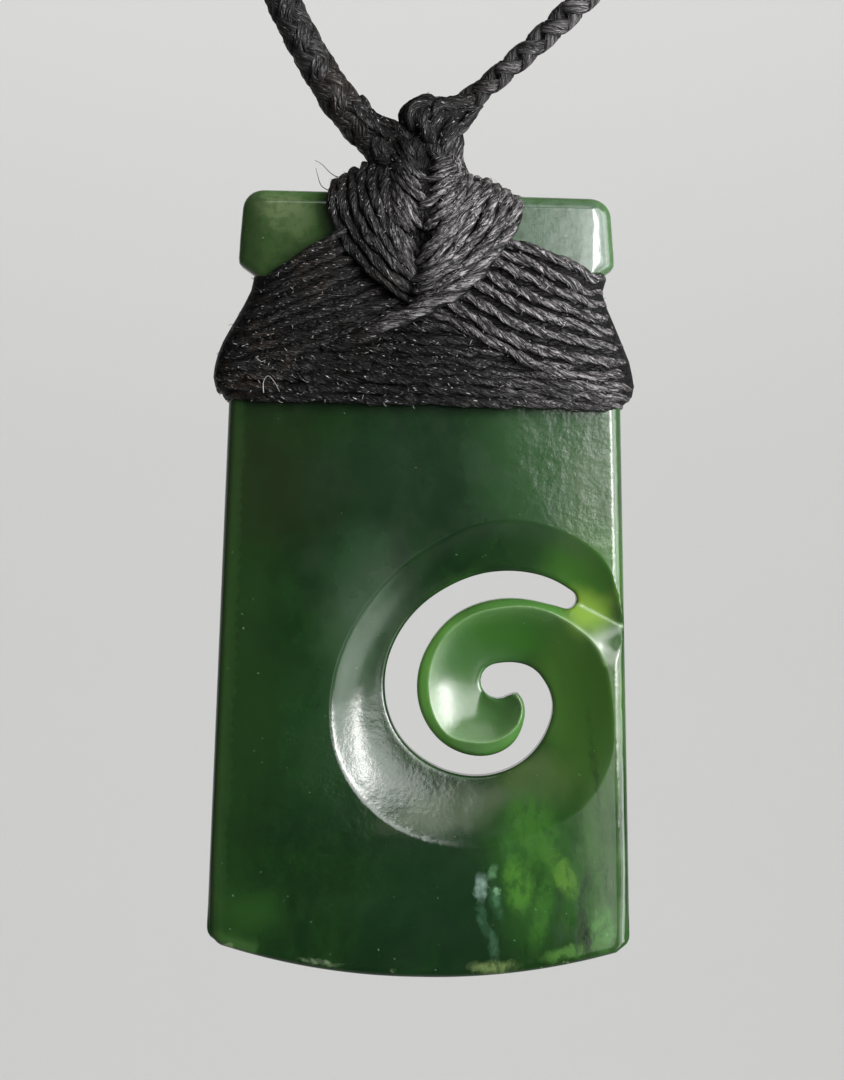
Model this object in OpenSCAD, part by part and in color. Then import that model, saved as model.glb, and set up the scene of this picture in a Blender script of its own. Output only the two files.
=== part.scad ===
// Toki pendant: a nephrite adze blade with a pierced koru, lashed with waxed cord to a plaited neck cord.
// Millimetres. The origin is the point at the nape of the neck where the neck cord hangs.
// X is to the right of the picture, the blade's front faces -Y, and Z is up.

/* [Blade] */
// Length of the stone, head to cutting edge
blade_len = 58; // [56:0.5:60]
// Width of the head
head_w = 27.9; // [27:0.1:29]
// Height of the head above the waist notches
head_h = 5.1; // [4.6:0.1:5.1]
// Width between the waist notches
waist_w = 24.4; // [23.6:0.1:25]
// Width of the body just under the lashing
shoulder_w = 28.9; // [28.4:0.1:29.4]
// Width at the cutting edge
edge_w = 31.4; // [31:0.1:32]
// Thickness of the body
blade_t = 5.4; // [5:0.1:6]
// Thickness of the head at its top
head_t = 4.4; // [4:0.1:4.8]
// Thickness left at the cutting edge
edge_t = 0.7; // [0.5:0.1:1]
// Height of the ground bevel behind the cutting edge
edge_bevel = 12; // [9:0.5:14]
// Radius of the curved cutting edge
edge_r = 50; // [46:1:56]
// Width of the narrow bevels along the front's long edges
side_bevel = 0.9; // [0.6:0.1:1.1]
// Width of the bevel along the head's front edge
head_bevel = 0.5; // [0.3:0.1:0.7]

/* [Koru] */
// Right of the middle line to the centre of the koru
koru_x = 4.6; // [4.2:0.1:4.8]
// Below the top of the head to the centre of the koru
koru_z = 36.7; // [36:0.1:37.5]
// Depth of the hollow carved round the slot
dish_depth = 1.5; // [1:0.1:2]
// Depth of the scooped frond where it meets the slot's inner end
scoop_depth = 1.3; // [0.9:0.1:1.6]
// Depth of the slope from the frond's rim down to the slot
lip_depth = 1; // [0.6:0.1:1.3]

/* [Lashing] */
// Thickness of the waxed cord
strand_d = 0.9; // [0.85:0.05:0.95]
// Slope of the wound rows, in degrees
lashing_tilt = 1.2; // [0:0.2:1.6]
// Gap kept between pieces that touch
gap = 0.12; // [0.1:0.01:0.15]

/* [Neck cord] */
// Thickness of the plaited cord on the left
left_d = 2.7; // [2.5:0.1:2.8]
// Thickness of the plaited cord on the right
right_d = 1.9; // [1.7:0.1:2]

/* [Hidden] */
$fn = 48;

stone = [0.10, 0.30, 0.15];
wax_black = [0.06, 0.06, 0.065];
plait_black = [0.09, 0.09, 0.10];
big = 100;

// Blade outline, half widths and heights from the top of the head
head_corner = 1.3;
head_lean = 0.25;
notch_top = head_h + 1.4;
notch_end = head_h + 2.4;
shoulder_at = 12.6;
edge_corner = 0.9;
edge_sag = edge_r - sqrt(edge_r * edge_r - edge_w * edge_w / 4);
// Where the koru's crease runs out at the right edge, below the top of the head
crease_at = 32.9;

// The middle line of the slot about the centre of the koru
// [angle, radius, width]
SLOT = [
    [ 48, 9.20, 1.45], [ 60, 8.70, 1.90], [ 85, 7.80, 2.05], [110, 7.05, 2.05],
    [140, 6.45, 2.30], [173, 6.15, 2.40], [206, 6.00, 2.25], [240, 5.80, 1.75],
    [275, 5.60, 1.45], [300, 5.30, 1.50], [325, 4.75, 1.85], [345, 4.30, 2.10],
    [362, 3.70, 2.10], [377, 2.95, 2.20], [392, 1.30, 2.60]];
// The outer edge of the carved hollow about the same centre
// [angle, radius, share of the full depth]
DISH = [
    [ 32, 12.2, 0.5], [ 50, 13.2, 0.6], [ 70, 13.1, 0.7], [ 90, 12.5, 0.8],
    [112, 11.4, 0.9], [137, 10.7, 1.0], [161, 10.9, 1.0], [184, 11.4, 1.0],
    [206, 12.0, 1.0], [230, 12.2, 1.0], [256, 12.2, 0.9], [278, 11.9, 0.8],
    [300, 11.5, 0.5], [320, 11.0, 0.2]];
// The rim of the frond, from the stalk at the lower right round to the frond's tip
// [angle, radius]
RIM = [
    [313, 12.0], [332, 10.9], [356,  9.5], [380,  9.1], [396, 8.3], [416, 7.4], [438, 6.3],
    [461,  5.6], [482,  5.0], [511,  4.6], [540,  4.4], [562, 4.4], [592, 4.3], [617, 3.9],
    [655,  3.8], [677,  3.7]];

// Waist lashing from the top down
// [depth below the head's top, half width, front, back]
LASHING = [
    [ 6.9, 12.85, 3.40, 3.40], [ 7.6, 13.25, 3.70, 3.70], [ 9.6, 14.00, 4.10, 4.00],
    [11.8, 15.10, 4.20, 4.10], [13.9, 15.60, 4.10, 4.10], [15.6, 15.20, 3.70, 3.70]];
strand_rows = round((LASHING[5][0] - LASHING[0][0]) / strand_d);
strand_relief = 0.18 * strand_d;
lashing_corner = 1.9;

// Head wrap from its lower tip up to the throat
// [height above the head's top, middle, half width, half depth]
WRAP = [
    [-9.6, -1.0, 1.0, 5.00], [-8.0, -0.5, 1.9, 5.30], [-6.0, -0.4, 3.9, 5.60],
    [-4.1, -0.3, 5.4, 5.50], [-2.0, -0.3, 6.4, 5.10], [-0.6, -0.4, 6.9, 4.70],
    [ 0.3, -0.5, 7.0, 4.30], [ 0.9, -0.7, 6.2, 4.00], [ 1.6, -1.2, 4.6, 3.60],
    [ 2.4, -1.0, 3.5, 3.20], [ 3.3, -0.9, 3.3, 3.00]];
wrap_dip = 0.5;
// Throat and knot above it, the same columns
KNOT = [
    [ 3.45, -0.9, 3.3, 2.95], [ 4.3, -0.7, 3.0, 2.90], [ 5.2, -0.25, 2.5, 2.90],
    [ 6.2, -0.3, 2.35, 2.70], [ 7.0, -0.3, 1.9, 2.20], [ 7.6, -0.3, 1.0, 1.30]];

// The top of the stone below and in front of the nape, where the routes of the cords expect it
drop = 125;
reach = 96;
// Routes of the neck cords, from the knot to the nape, in the whole part's frame
LEFT_ROUTE = [
    [-4.1, -96, -120.7], [-7.2, -96, -117.1], [-10.9, -96, -110.6], [-15, -95.5, -101],
    [-21, -94.5, -90], [-29, -91, -76], [-38, -84.5, -61.5], [-47, -75, -47],
    [-54, -62, -33.5], [-57.5, -47, -22], [-56, -31, -13], [-48.5, -17.5, -7], [-37, -8, -3],
    [-23, -1.8, -0.6], [-13, -0.1, 0], [-5, 0, 0]];
RIGHT_ROUTE = [
    [2.9, -96, -117.8], [4.7, -96, -116.4], [10.8, -96, -110.8], [17.5, -95.5, -103],
    [25, -93.5, -91.5], [33, -89.5, -77], [41.5, -82.5, -62], [49.5, -73, -47.5],
    [55.5, -61, -34], [57.5, -47, -22], [56, -31, -13], [48.5, -17.5, -7], [37, -8, -3],
    [23, -1.8, -0.6], [13, -0.1, 0], [5, 0, 0]];
cord_sides = 8;
left_rings = 36;
right_rings = 42;

closure_d = 5.4;
closure_len = 18;
closure_socket = 4.5;

// Vectors and smooth tables
function mix(a, b, t) = a + (b - a) * t;
function unit(v) = v / norm(v);
function clamp(v, low, high) = max(low, min(high, v));
function row(table, i) = table[clamp(i, 0, len(table) - 1)];
function spline(a, b, c, d, t) =
    0.5 * (2 * b + (c - a) * t + (2 * a - 5 * b + 4 * c - d) * t * t
           + (3 * b - a - 3 * c + d) * t * t * t);
function smooth_row(table, at) =
    let (i = min(floor(at), len(table) - 2))
    spline(i == 0 ? 2 * table[0] - table[1] : table[i - 1], table[i], table[i + 1],
           i == len(table) - 2 ? 2 * table[i + 1] - table[i] : table[i + 2], at - i);
function smooth_rows(table, n) = [for (k = [0:n]) smooth_row(table, k * (len(table) - 1) / n)];

// Plane shapes: an arc's points, and a point at an angle and radius
function polar(r, angle) = [r * cos(angle), r * sin(angle)];
function arc(centre, r, from, to, n) =
    [for (k = [0:n]) centre + polar(r, mix(from, to, k / n))];

// The slot's two sides, from its middle line, and its round ends
function slot_mid() = [for (s = smooth_rows(SLOT, 42)) polar(s[1], s[0])];
function slot_half() = [for (s = smooth_rows(SLOT, 42)) s[2] / 2];
function heading(line, i) = unit(row(line, i + 1) - row(line, i - 1));
function slot_side(side) =
    let (mid = slot_mid(), half = slot_half())
    [for (i = [0:len(mid) - 1])
        let (h = heading(mid, i)) mid[i] + side * half[i] * [h[1], -h[0]]];
function slot_end(i, turn) =
    let (mid = slot_mid(), half = slot_half(), h = heading(mid, i), a = atan2(h[1], h[0]))
    [for (k = [1:5]) mid[i] + polar(half[i], a + turn + k * 30)];
function slot_outline() =
    let (outer = slot_side(1), inner = slot_side(-1), last = len(outer) - 1)
    concat(outer, slot_end(last, -90), [for (i = [last:-1:0]) inner[i]], slot_end(0, 90));

// The wall between rings with the same number of points, each counter-clockwise about its way on
function wall_faces(rings, n) =
    [for (r = [0:rings - 2], k = [0:n - 1])
        let (a = r * n + k, b = r * n + (k + 1) % n) each [[a, b + n, b], [a, a + n, b + n]]];
// A closed solid through such rings
module loft(rings) {
    n = len(rings[0]);
    last = (len(rings) - 1) * n;
    polyhedron([for (r = rings) each r],
               concat(wall_faces(len(rings), n), [[for (k = [0:n - 1]) k]],
                      [[for (k = [n - 1:-1:0]) last + k]]), convexity = 6);
}

// A hollow sleeve between outer and inner rings, open at both ends
module sleeve(outer, inner) {
    n = len(outer[0]);
    rings = len(outer);
    start = rings * n;
    wall = wall_faces(rings, n);
    bore = [for (f = wall) [f[0] + start, f[2] + start, f[1] + start]];
    ends = [for (k = [0:n - 1])
        let (a = k, b = (k + 1) % n, top = (rings - 1) * n)
        each [[a, b + start, a + start], [a, b, b + start],
              [a + top, b + top + start, b + top], [a + top, a + top + start, b + top + start]]];
    polyhedron([for (r = concat(outer, inner)) each r], concat(wall, bore, ends), convexity = 8);
}

// A round cord swept along a route
function cord_rings(line, d) =
    [for (i = [0:len(line) - 1])
        let (ahead = heading(line, i), side = unit(cross(ahead, [0, -1, 0.3])), up = cross(ahead, side))
        [for (k = [0:cord_sides - 1])
            line[i] + d / 2 * (cos(k * 360 / cord_sides) * side + sin(k * 360 / cord_sides) * up)]];
module cord(route, d, rings) loft(cord_rings(smooth_rows(route, rings), d));

// Places the blade's own frame, whose origin is the middle of the head's top
module at_blade() translate([0, -reach, -drop]) children();
// Turns a plane drawn in width and height to face the front, from y0 to y1
module upright(y0, y1) translate([0, y1, 0]) rotate([90, 0, 0]) linear_extrude(y1 - y0) children();

module blade_outline() {
    right = concat(
        arc([head_w / 2 - head_lean - head_corner, -head_corner], head_corner, 90, 0, 5),
        [[head_w / 2, -head_h], [waist_w / 2, -notch_top], [waist_w / 2, -notch_end],
         [shoulder_w / 2, -shoulder_at]],
        arc([edge_w / 2 - edge_corner, edge_sag - blade_len + edge_corner], edge_corner, 0, -70, 4));
    left = [for (i = [len(right) - 1:-1:0]) [-right[i][0], right[i][1]]];
    polygon(concat(right, arc([0, edge_r - blade_len], edge_r, -75, -105, 12), left));
}

// The body and the cone ground behind its cutting edge, about the middle of the edge's curve
module edge_grind() {
    past = edge_t / 2;
    translate([0, 0, edge_r - blade_len]) rotate([90, 0, 0])
        rotate_extrude($fn = 96)
            polygon([[0, -blade_t / 2], [edge_r - edge_bevel, -blade_t / 2],
                     [edge_r + past, blade_t / 2 - edge_t + past * (blade_t - edge_t) / edge_bevel],
                     [edge_r + past, blade_t], [0, blade_t]]);
}

// The head tapers on both faces
module head_taper() {
    fall = (blade_t - head_t) / 2;
    for (side = [0, 1]) mirror([0, side, 0])
        upright_side() polygon([[-blade_t / 2 - 1, 1], [-head_t / 2, 1], [-head_t / 2, 0],
                                [-blade_t / 2, -shoulder_at], [-blade_t / 2 - 1, -shoulder_at]]);
}
module upright_side() translate([-big / 2, 0, 0]) rotate([90, 0, 90]) linear_extrude(big) children();

// A bevel along the edge between two points of a face that lies at y
module edge_cut(a, b, y, w) {
    run = b - a;
    translate([a[0], y, a[1]]) rotate([0, -atan2(run[1], run[0]), 0])
        translate([norm(run) / 2, 0, 0]) rotate([45, 0, 0])
            cube([norm(run) + 1, w * sqrt(2), w * sqrt(2)], center = true);
}

// The middle line of the slot at an angle, which stops at its inner end
function slot_point(angle) =
    let (rows = smooth_rows(SLOT, 42), last = rows[42],
         passed = [for (s = rows) if (s[0] <= angle) s[1]], n = len(passed))
    polar(n == 0 ? rows[0][1] : passed[n - 1], min(angle, last[0]));

// One carving stroke across the face: from one plane point to another, with the depths on its way
function stroke(from, to, depths) =
    let (n = len(depths) - 1, face = -blade_t / 2)
    concat([[from[0], face - 1, from[1]], [to[0], face - 1, to[1]]],
           [for (k = [n:-1:0]) let (p = mix(from, to, k / n)) [p[0], face + depths[k], p[1]]]);

// The hollow outside the slot, deepest at the slot and running out at its edge
module dish_tool() loft([for (d = smooth_rows(DISH, 36))
    stroke(slot_point(d[0]), polar(d[1], d[0]),
           [for (t = [0:0.2:1.01]) dish_depth * d[2] * (1 - pow(t, 1.6)) - 0.02])]);

// The scooped face of the frond, from near the slot's inner end out to the rim
module scoop_tool() loft([for (d = smooth_rows(RIM, 44))
    let (rim = polar(d[1], d[0]), near = slot_point(d[0]), from = near + 0.3 * unit(rim - near))
    stroke(from, rim, [for (t = [0:0.25:1]) scoop_depth * (1 - pow(t, 1.8)) + 0.15])]);

// The slope from the rim down to the slot's inner side
module lip_tool() loft([for (d = smooth_rows(RIM, 44)) if (d[0] > 410 && d[0] < 665)
    let (near = slot_point(d[0] - 360), rim = polar(d[1], d[0]))
    stroke(rim, near, [0.1, lip_depth])]);

module crease_tool() {
    tip = polar(SLOT[0][1], SLOT[0][0]);
    out = [edge_w / 2 - koru_x, koru_z - crease_at];
    run = out - tip;
    translate([tip[0], -blade_t / 2, tip[1]]) rotate([0, -atan2(run[1], run[0]), 0])
        rotate([45, 0, 0]) translate([0, -dish_depth / 2, -dish_depth / 2])
            cube([norm(run) + 2, dish_depth, dish_depth]);
}

module toki_blade() color(stone) at_blade() difference() {
    intersection() {
        upright(-blade_t / 2, blade_t / 2) blade_outline();
        edge_grind();
    }
    head_taper();
    for (side = [-1, 1])
        edge_cut([side * shoulder_w / 2, -shoulder_at], [side * edge_w / 2, edge_sag - blade_len],
                 -blade_t / 2, side_bevel);
    edge_cut([-head_w / 2, 0], [head_w / 2, 0], -head_t / 2, head_bevel);
    translate([koru_x, 0, -koru_z]) {
        upright(-blade_t, blade_t) polygon(slot_outline());
        dish_tool();
        scoop_tool();
        lip_tool();
        crease_tool();
    }
}

// A rounded box section at one height: half width, front and back reach, corner radius.
// A dip pulls in the middle of both faces.
function box_ring(w, front, back, r, z, middle = 0, dip = 0) =
    [for (q = [0:3], k = [0:4])
        let (sx = (q == 0 || q == 3) ? 1 : -1, sy = q < 2 ? 1 : -1, a = q * 90 + k * 30,
             reach = q < 2 ? back : front)
        if (k < 4) [middle + sx * (w - r) + r * cos(a), sy * (reach - r) + r * sin(a), z]
        else if (q % 2 == 0) [middle, sy * (reach - dip), z]];

// The blade's half width at a depth below the head's top, within the lashing
function waist_half(depth) =
    mix(waist_w, shoulder_w, clamp((depth - notch_end) / (shoulder_at - notch_end), 0, 1)) / 2;
function tilted(ring) = [for (p = ring) [p[0], p[1], p[2] - p[0] * tan(lashing_tilt)]];
module waist_lashing() {
    rows = smooth_rows(LASHING, 2 * strand_rows);
    last = len(rows) - 1;
    slack = shoulder_w / 2 * tan(lashing_tilt);
    outer = [for (i = [last:-1:0])
        let (d = rows[i], low = i % 2 == 0 ? strand_relief : 0)
        tilted(box_ring(d[1] - low, d[2] - low, d[3] - low, lashing_corner, -d[0]))];
    inner = [for (i = [last:-1:0])
        let (d = rows[i], half = blade_t / 2 + gap)
        tilted(box_ring(waist_half(d[0] + slack) + gap, half, half, gap, -d[0]))];
    color(wax_black) at_blade() sleeve(outer, inner);
}

module head_wrap() {
    clear = blade_t / 2 + gap;
    over = LASHING[3][2] + 2 * gap;
    color(wax_black) at_blade() difference() {
        loft([for (d = smooth_rows(WRAP, 20))
            box_ring(d[2], d[3], d[3], min(0.8 * d[2], 1.8), d[0], d[1],
                     wrap_dip * d[2] / WRAP[5][2])]);
        translate([-big / 2, -clear, gap - big]) cube([big, 2 * clear, big]);
        translate([-big / 2, -over, -LASHING[0][0] + 0.4 - big]) cube([big, 2 * over, big]);
    }
}

module neck_knot() color(wax_black) at_blade()
    loft([for (d = smooth_rows(KNOT, 10))
        box_ring(d[2], d[3], d[3], min(d[2], d[3]) * 0.85, d[0], d[1])]);

module neck_cord_left() color(plait_black) cord(LEFT_ROUTE, left_d, left_rings);
module neck_cord_right() color(plait_black) cord(RIGHT_ROUTE, right_d, right_rings);

// A plain sleeve with a blind socket for each cord's end
module nape_closure() {
    color(wax_black) rotate([0, 90, 0]) difference() {
        cylinder(d = closure_d, h = closure_len, center = true);
        for (end = [[-1, left_d], [1, right_d]])
            translate([0, 0, end[0] * closure_len / 2])
                cylinder(d = end[1] + 2 * gap, h = 2 * closure_socket, center = true);
    }
}

toki_blade();
waist_lashing();
head_wrap();
neck_knot();
neck_cord_left();
neck_cord_right();
nape_closure();
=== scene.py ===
"""Toki pendant on a plaited neck cord: the looks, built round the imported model.

Shapes are worked out in millimetres in the blade's own frame (origin at the middle of the head's top,
X right, Y to the back, Z up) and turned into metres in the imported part's frame when they become meshes.
"""
import math

import bmesh
import bpy
import numpy as np
from mathutils import Matrix, Vector, geometry, kdtree


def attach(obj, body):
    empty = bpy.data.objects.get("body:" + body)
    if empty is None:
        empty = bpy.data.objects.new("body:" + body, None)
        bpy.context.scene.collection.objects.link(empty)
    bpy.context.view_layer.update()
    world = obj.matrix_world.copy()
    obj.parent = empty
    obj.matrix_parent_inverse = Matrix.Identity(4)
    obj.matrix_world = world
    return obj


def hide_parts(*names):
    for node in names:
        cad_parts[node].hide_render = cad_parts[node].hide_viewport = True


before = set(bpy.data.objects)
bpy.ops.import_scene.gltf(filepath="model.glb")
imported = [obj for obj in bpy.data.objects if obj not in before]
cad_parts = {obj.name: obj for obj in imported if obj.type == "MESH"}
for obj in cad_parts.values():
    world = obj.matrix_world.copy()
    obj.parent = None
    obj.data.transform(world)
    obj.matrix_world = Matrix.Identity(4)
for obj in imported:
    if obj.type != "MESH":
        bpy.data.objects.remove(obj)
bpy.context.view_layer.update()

MM = 0.001
BLADE = np.array([0.0, -96.0, -125.0])
rng = np.random.default_rng(7)

# Camera, stage and lights
VIEW_CENTRE = np.array([-0.07, -98.7, -150.6])
VIEW_HEIGHT = 80.0
CAMERA_AWAY = 420.0
ROLL = math.radians(0.7)
SENSOR = 36.0
STONE = (0, -0.096, -0.15)
# Lights in metres: name, place, aim, size, power, colour, whether the stone mirrors it
LIGHTS = (
    ("key", (0.42, -0.53, -0.01), (0.004, -0.096, -0.16), (0.12, 0.32), 2.9, (1, 0.98, 0.96), True),
    ("soft_key", (0.40, -0.55, 0.0), (0.004, -0.096, -0.16), (0.14, 0.30), 1.6, (1, 0.98, 0.96), False),
    ("window", (0.40, -0.42, 0.02), (0.004, -0.096, -0.15), (0.42, 0.36), 2.2, (0.97, 0.98, 1), True),
    ("panel", (0.165, -0.56, -0.01), (0.004, -0.096, -0.15), (0.20, 0.27), 0.95, (1, 1, 1), True),
    ("side", (0.55, -0.20, -0.12), STONE, (0.22, 0.40), 1.4, (0.95, 0.98, 1), True),
    ("over", (0.05, -0.46, 0.30), (0, -0.096, -0.16), (0.34, 0.24), 0.42, (1, 1, 1), True),
    ("low", (0.45, -0.33, -0.31), STONE, (0.26, 0.36), 0.75, (0.97, 1, 0.98), True),
    ("fill", (-0.45, -0.55, 0.05), STONE, (0.5, 0.5), 0.5, (0.92, 0.96, 1), False),
    ("wall", (0.0, 1.4, 1.6), (0, 3.4, -0.1), (2.0, 1.0), 60.0, (1, 1, 1), True))
# Cards just behind the camera, whose mirror images lie on the right of the stone: x, z, width, height,
# brightness
CARDS = ((0.066, -0.122, 0.030, 0.09, 1.5), (0.100, -0.165, 0.05, 0.19, 2.3))
CARD_Y = -0.555


def add_object(name, data):
    obj = bpy.data.objects.new(name, data)
    bpy.context.scene.collection.objects.link(obj)
    return obj


def make_camera():
    data = bpy.data.cameras.new("camera")
    data.sensor_width = SENSOR
    data.lens = SENSOR * CAMERA_AWAY / VIEW_HEIGHT
    data.clip_start, data.clip_end = 0.01, 20.0
    camera = add_object("camera", data)
    spot = (VIEW_CENTRE - np.array([0, CAMERA_AWAY, 0])) * MM
    camera.matrix_world = (Matrix.Translation(spot) @ Matrix.Rotation(math.pi / 2, 4, "X")
                           @ Matrix.Rotation(ROLL, 4, "Z"))
    bpy.context.scene.camera = camera


def make_light(name, spot, aim, size, power, colour, shines):
    data = bpy.data.lights.new(name, "AREA")
    data.shape = "RECTANGLE"
    data.size, data.size_y = size
    data.energy = power
    data.color = colour
    light = add_object(name, data)
    light.visible_glossy = shines
    spot, aim = Vector(spot), Vector(aim)
    light.location = spot
    light.rotation_mode = "QUATERNION"
    light.rotation_quaternion = (aim - spot).to_track_quat("-Z", "Y")


def make_lights():
    for light in LIGHTS:
        make_light(*light)
    for number, (x, z, wide, tall, bright) in enumerate(CARDS):
        make_light("card_%d" % number, (x, CARD_Y, z), (x, STONE[1], z), (wide, tall),
                   bright * math.pi * wide * tall, (1, 1, 0.98), True)


def make_stage(material):
    """A pale floor that curves up into a wall far behind the pendant."""
    floor, top, wall, curve, reach, steps = -1.0, 3.0, 3.4, 0.9, 3.4, 12
    wide = 1.3 * reach
    profile = [(-reach, floor), (wall - curve, floor)]
    for k in range(1, steps + 1):
        a = math.pi / 2 * k / steps
        profile.append((wall - curve + curve * math.sin(a), floor + curve * (1 - math.cos(a))))
    profile.append((wall, top))
    verts = [(side * wide, y, z) for y, z in profile for side in (-1, 1)]
    faces = [(2 * i, 2 * i + 1, 2 * i + 3, 2 * i + 2) for i in range(len(profile) - 1)]
    mesh = bpy.data.meshes.new("floor")
    mesh.from_pydata(verts, [], faces)
    mesh.polygons.foreach_set("use_smooth", [True] * len(faces))
    mesh.materials.append(material)
    add_object("floor", mesh)


def make_world():
    world = bpy.data.worlds.new("studio")
    world.use_nodes = True
    sky = world.node_tree.nodes["Background"].inputs
    sky["Color"].default_value = (0.86, 0.90, 0.94, 1)
    sky["Strength"].default_value = 0.05
    bpy.context.scene.world = world
    bpy.context.scene.view_settings.view_transform = "Standard"


# Colours of the stone's body, in thousandths
DEEP_GREEN = (3, 13.8, 3.4)
BODY_GREEN = (5, 20, 3.8)
CLOUD_GREEN = (9, 33, 7)
# Lighter parts of the stone, two of them painted light (a glow and a sheen): middle x and z, half width and
# height (mm), softness, tilt, colour in thousandths, share
TINTS = (
    (10.5, -19.5, 6.8, 7, 0.5, 0, (24, 66, 22), 0.75),
    (13, -24, 2.6, 6, 0.6, 0, (50, 85, 38), 0.6),
    (-11.5, -21, 5.5, 5, 0.7, 0, (9.5, 15, 5), 0.75),
    (-1, -20.5, 6, 4, 0.7, 0, (8, 21, 9.5), 0.6),
    (-13.5, -35, 2.6, 12, 0.8, 0, (10, 28, 6), 0.6),
    (-6, -40.5, 4, 5, 0.8, 0.2, (10, 34, 10), 0.7),
    # Painted reflection: a pale glow on the upper left of the koru's hollow
    (-4.9, -32, 1.9, 5.2, 0.7, -0.15, (18, 48, 18), 0.7),
    (-5, -26.5, 2, 2.2, 0.8, -0.5, (10, 32, 11), 0.8),
    (1.5, -52, 5, 5, 0.7, 0, (5, 19, 7), 0.6),
    (3, -36, 4.2, 5.6, 0.5, 0, (34, 92, 24), 0.85),
    (2.5, -39, 3.2, 2.4, 0.7, 0, (50, 110, 32), 0.7),
    (6.5, -31.5, 5, 2.2, 0.6, -0.3, (22, 85, 10), 0.8),
    (11.8, -36.5, 3, 8, 0.5, 0, (30, 80, 12), 0.85),
    (8.2, -43.2, 3, 1.6, 0.6, 0.3, (50, 85, 24), 0.7),
    (3, -45.4, 4.6, 1.2, 0.6, 0.2, (46, 66, 36), 0.8),
    (12, -28, 3.4, 3, 0.7, 0, (30, 95, 12), 0.8),
    (12.2, -30.6, 1.8, 1.5, 0.7, 0.3, (130, 220, 30), 0.9),
    (9.8, -50, 4.2, 5.5, 0.6, 0.2, (17, 66, 10), 0.85),
    (13.6, -48, 1.5, 7, 0.5, 0, (42, 92, 28), 0.7),
    (-14, -54, 2.6, 3, 0.8, 0.3, (11, 38, 7), 0.7),
    (-12.6, -53.4, 1.8, 1.3, 0.9, 0.3, (13, 48, 8), 0.7),
    (-11, -2, 6.5, 5.5, 0.4, 0, (29, 56, 17), 0.9),
    (-11.3, -0.9, 2, 1.3, 0.8, -0.3, (95, 130, 60), 0.75),
    # Painted sheen on the head's right face, pale grey-green
    (11, -2, 7, 5.5, 0.4, 0, (78, 118, 82), 0.85))
# Small marks with ragged borders, in the same terms: patches, cracks, the fleck with its trail, pale chips
MARKS = (
    (8.4, -46.9, 1.7, 2.6, 0.5, 0.3, (26, 92, 12), 0.9),
    (6.6, -48.6, 0.5, 1.3, 0.5, 0.2, (22, 80, 14), 0.8),
    (7.4, -51, 1, 2, 0.4, 0.1, (36, 115, 14), 1),
    (9.2, -52.8, 0.7, 2.6, 0.5, -0.2, (24, 85, 12), 0.9),
    (10.8, -50.4, 0.7, 1.7, 0.4, 0.4, (50, 125, 16), 1),
    (9.6, -48.9, 0.5, 1.2, 0.5, 0.5, (30, 95, 14), 0.9),
    (13.7, -54.3, 0.9, 1.5, 0.4, 0, (55, 150, 36), 0.8),
    (11.3, -56, 1.9, 0.5, 0.5, 0.25, (46, 120, 22), 0.9),
    (12.2, -52.6, 0.35, 2.6, 0.6, -0.08, (10, 24, 7), 0.85),
    (12.5, -55.2, 0.25, 1.2, 0.5, 0.1, (6, 12, 5), 0.9),
    (12.9, -42, 0.22, 3.2, 0.7, 0.12, (12, 28, 8), 0.7),
    (4.6, -51.3, 0.42, 0.9, 0.5, 0, (130, 200, 165), 1),
    (5.4, -50.2, 0.24, 0.5, 0.8, -0.4, (80, 180, 85), 0.7),
    (5.75, -51.5, 0.18, 0.3, 0.7, 0, (200, 360, 200), 0.8),
    (5.8, -52.4, 0.35, 0.95, 0.9, 0.2, (36, 100, 48), 0.9),
    (4.7, -53.4, 0.26, 0.75, 0.9, 0.2, (26, 70, 36), 0.9),
    (5.1, -54.5, 0.28, 0.85, 0.9, 0.6, (26, 70, 36), 0.9),
    (5.6, -55.7, 0.3, 0.8, 0.9, 0.1, (30, 74, 38), 0.9),
    (5.6, -57.2, 1.5, 0.4, 0.6, 0.05, (140, 200, 70), 0.65),
    (-7.2, -57, 1.3, 0.16, 0.6, -0.12, (140, 190, 110), 0.65))


class Value:
    """What a node gives out, with arithmetic that adds more nodes."""

    def __init__(self, shade, socket):
        self.shade, self.socket = shade, socket

    def __add__(self, other):
        return self.shade.math("ADD", self, other)

    def __sub__(self, other):
        return self.shade.math("SUBTRACT", self, other)

    def __mul__(self, other):
        return self.shade.math("MULTIPLY", self, other)

    def __abs__(self):
        return self.shade.math("ABSOLUTE", self)

    def ramp(self, low, high, to_low=0.0, to_high=1.0):
        """A soft step from to_low, where this is low, to to_high, where it is high."""
        made = self.shade.node("ShaderNodeMapRange", interpolation_type="SMOOTHSTEP")
        return self.shade.joined(made, (self, low, high, to_low, to_high))

    def split(self):
        made = self.shade.node("ShaderNodeSeparateXYZ")
        self.shade.put(made.inputs[0], self)
        return [Value(self.shade, socket) for socket in made.outputs]


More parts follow.
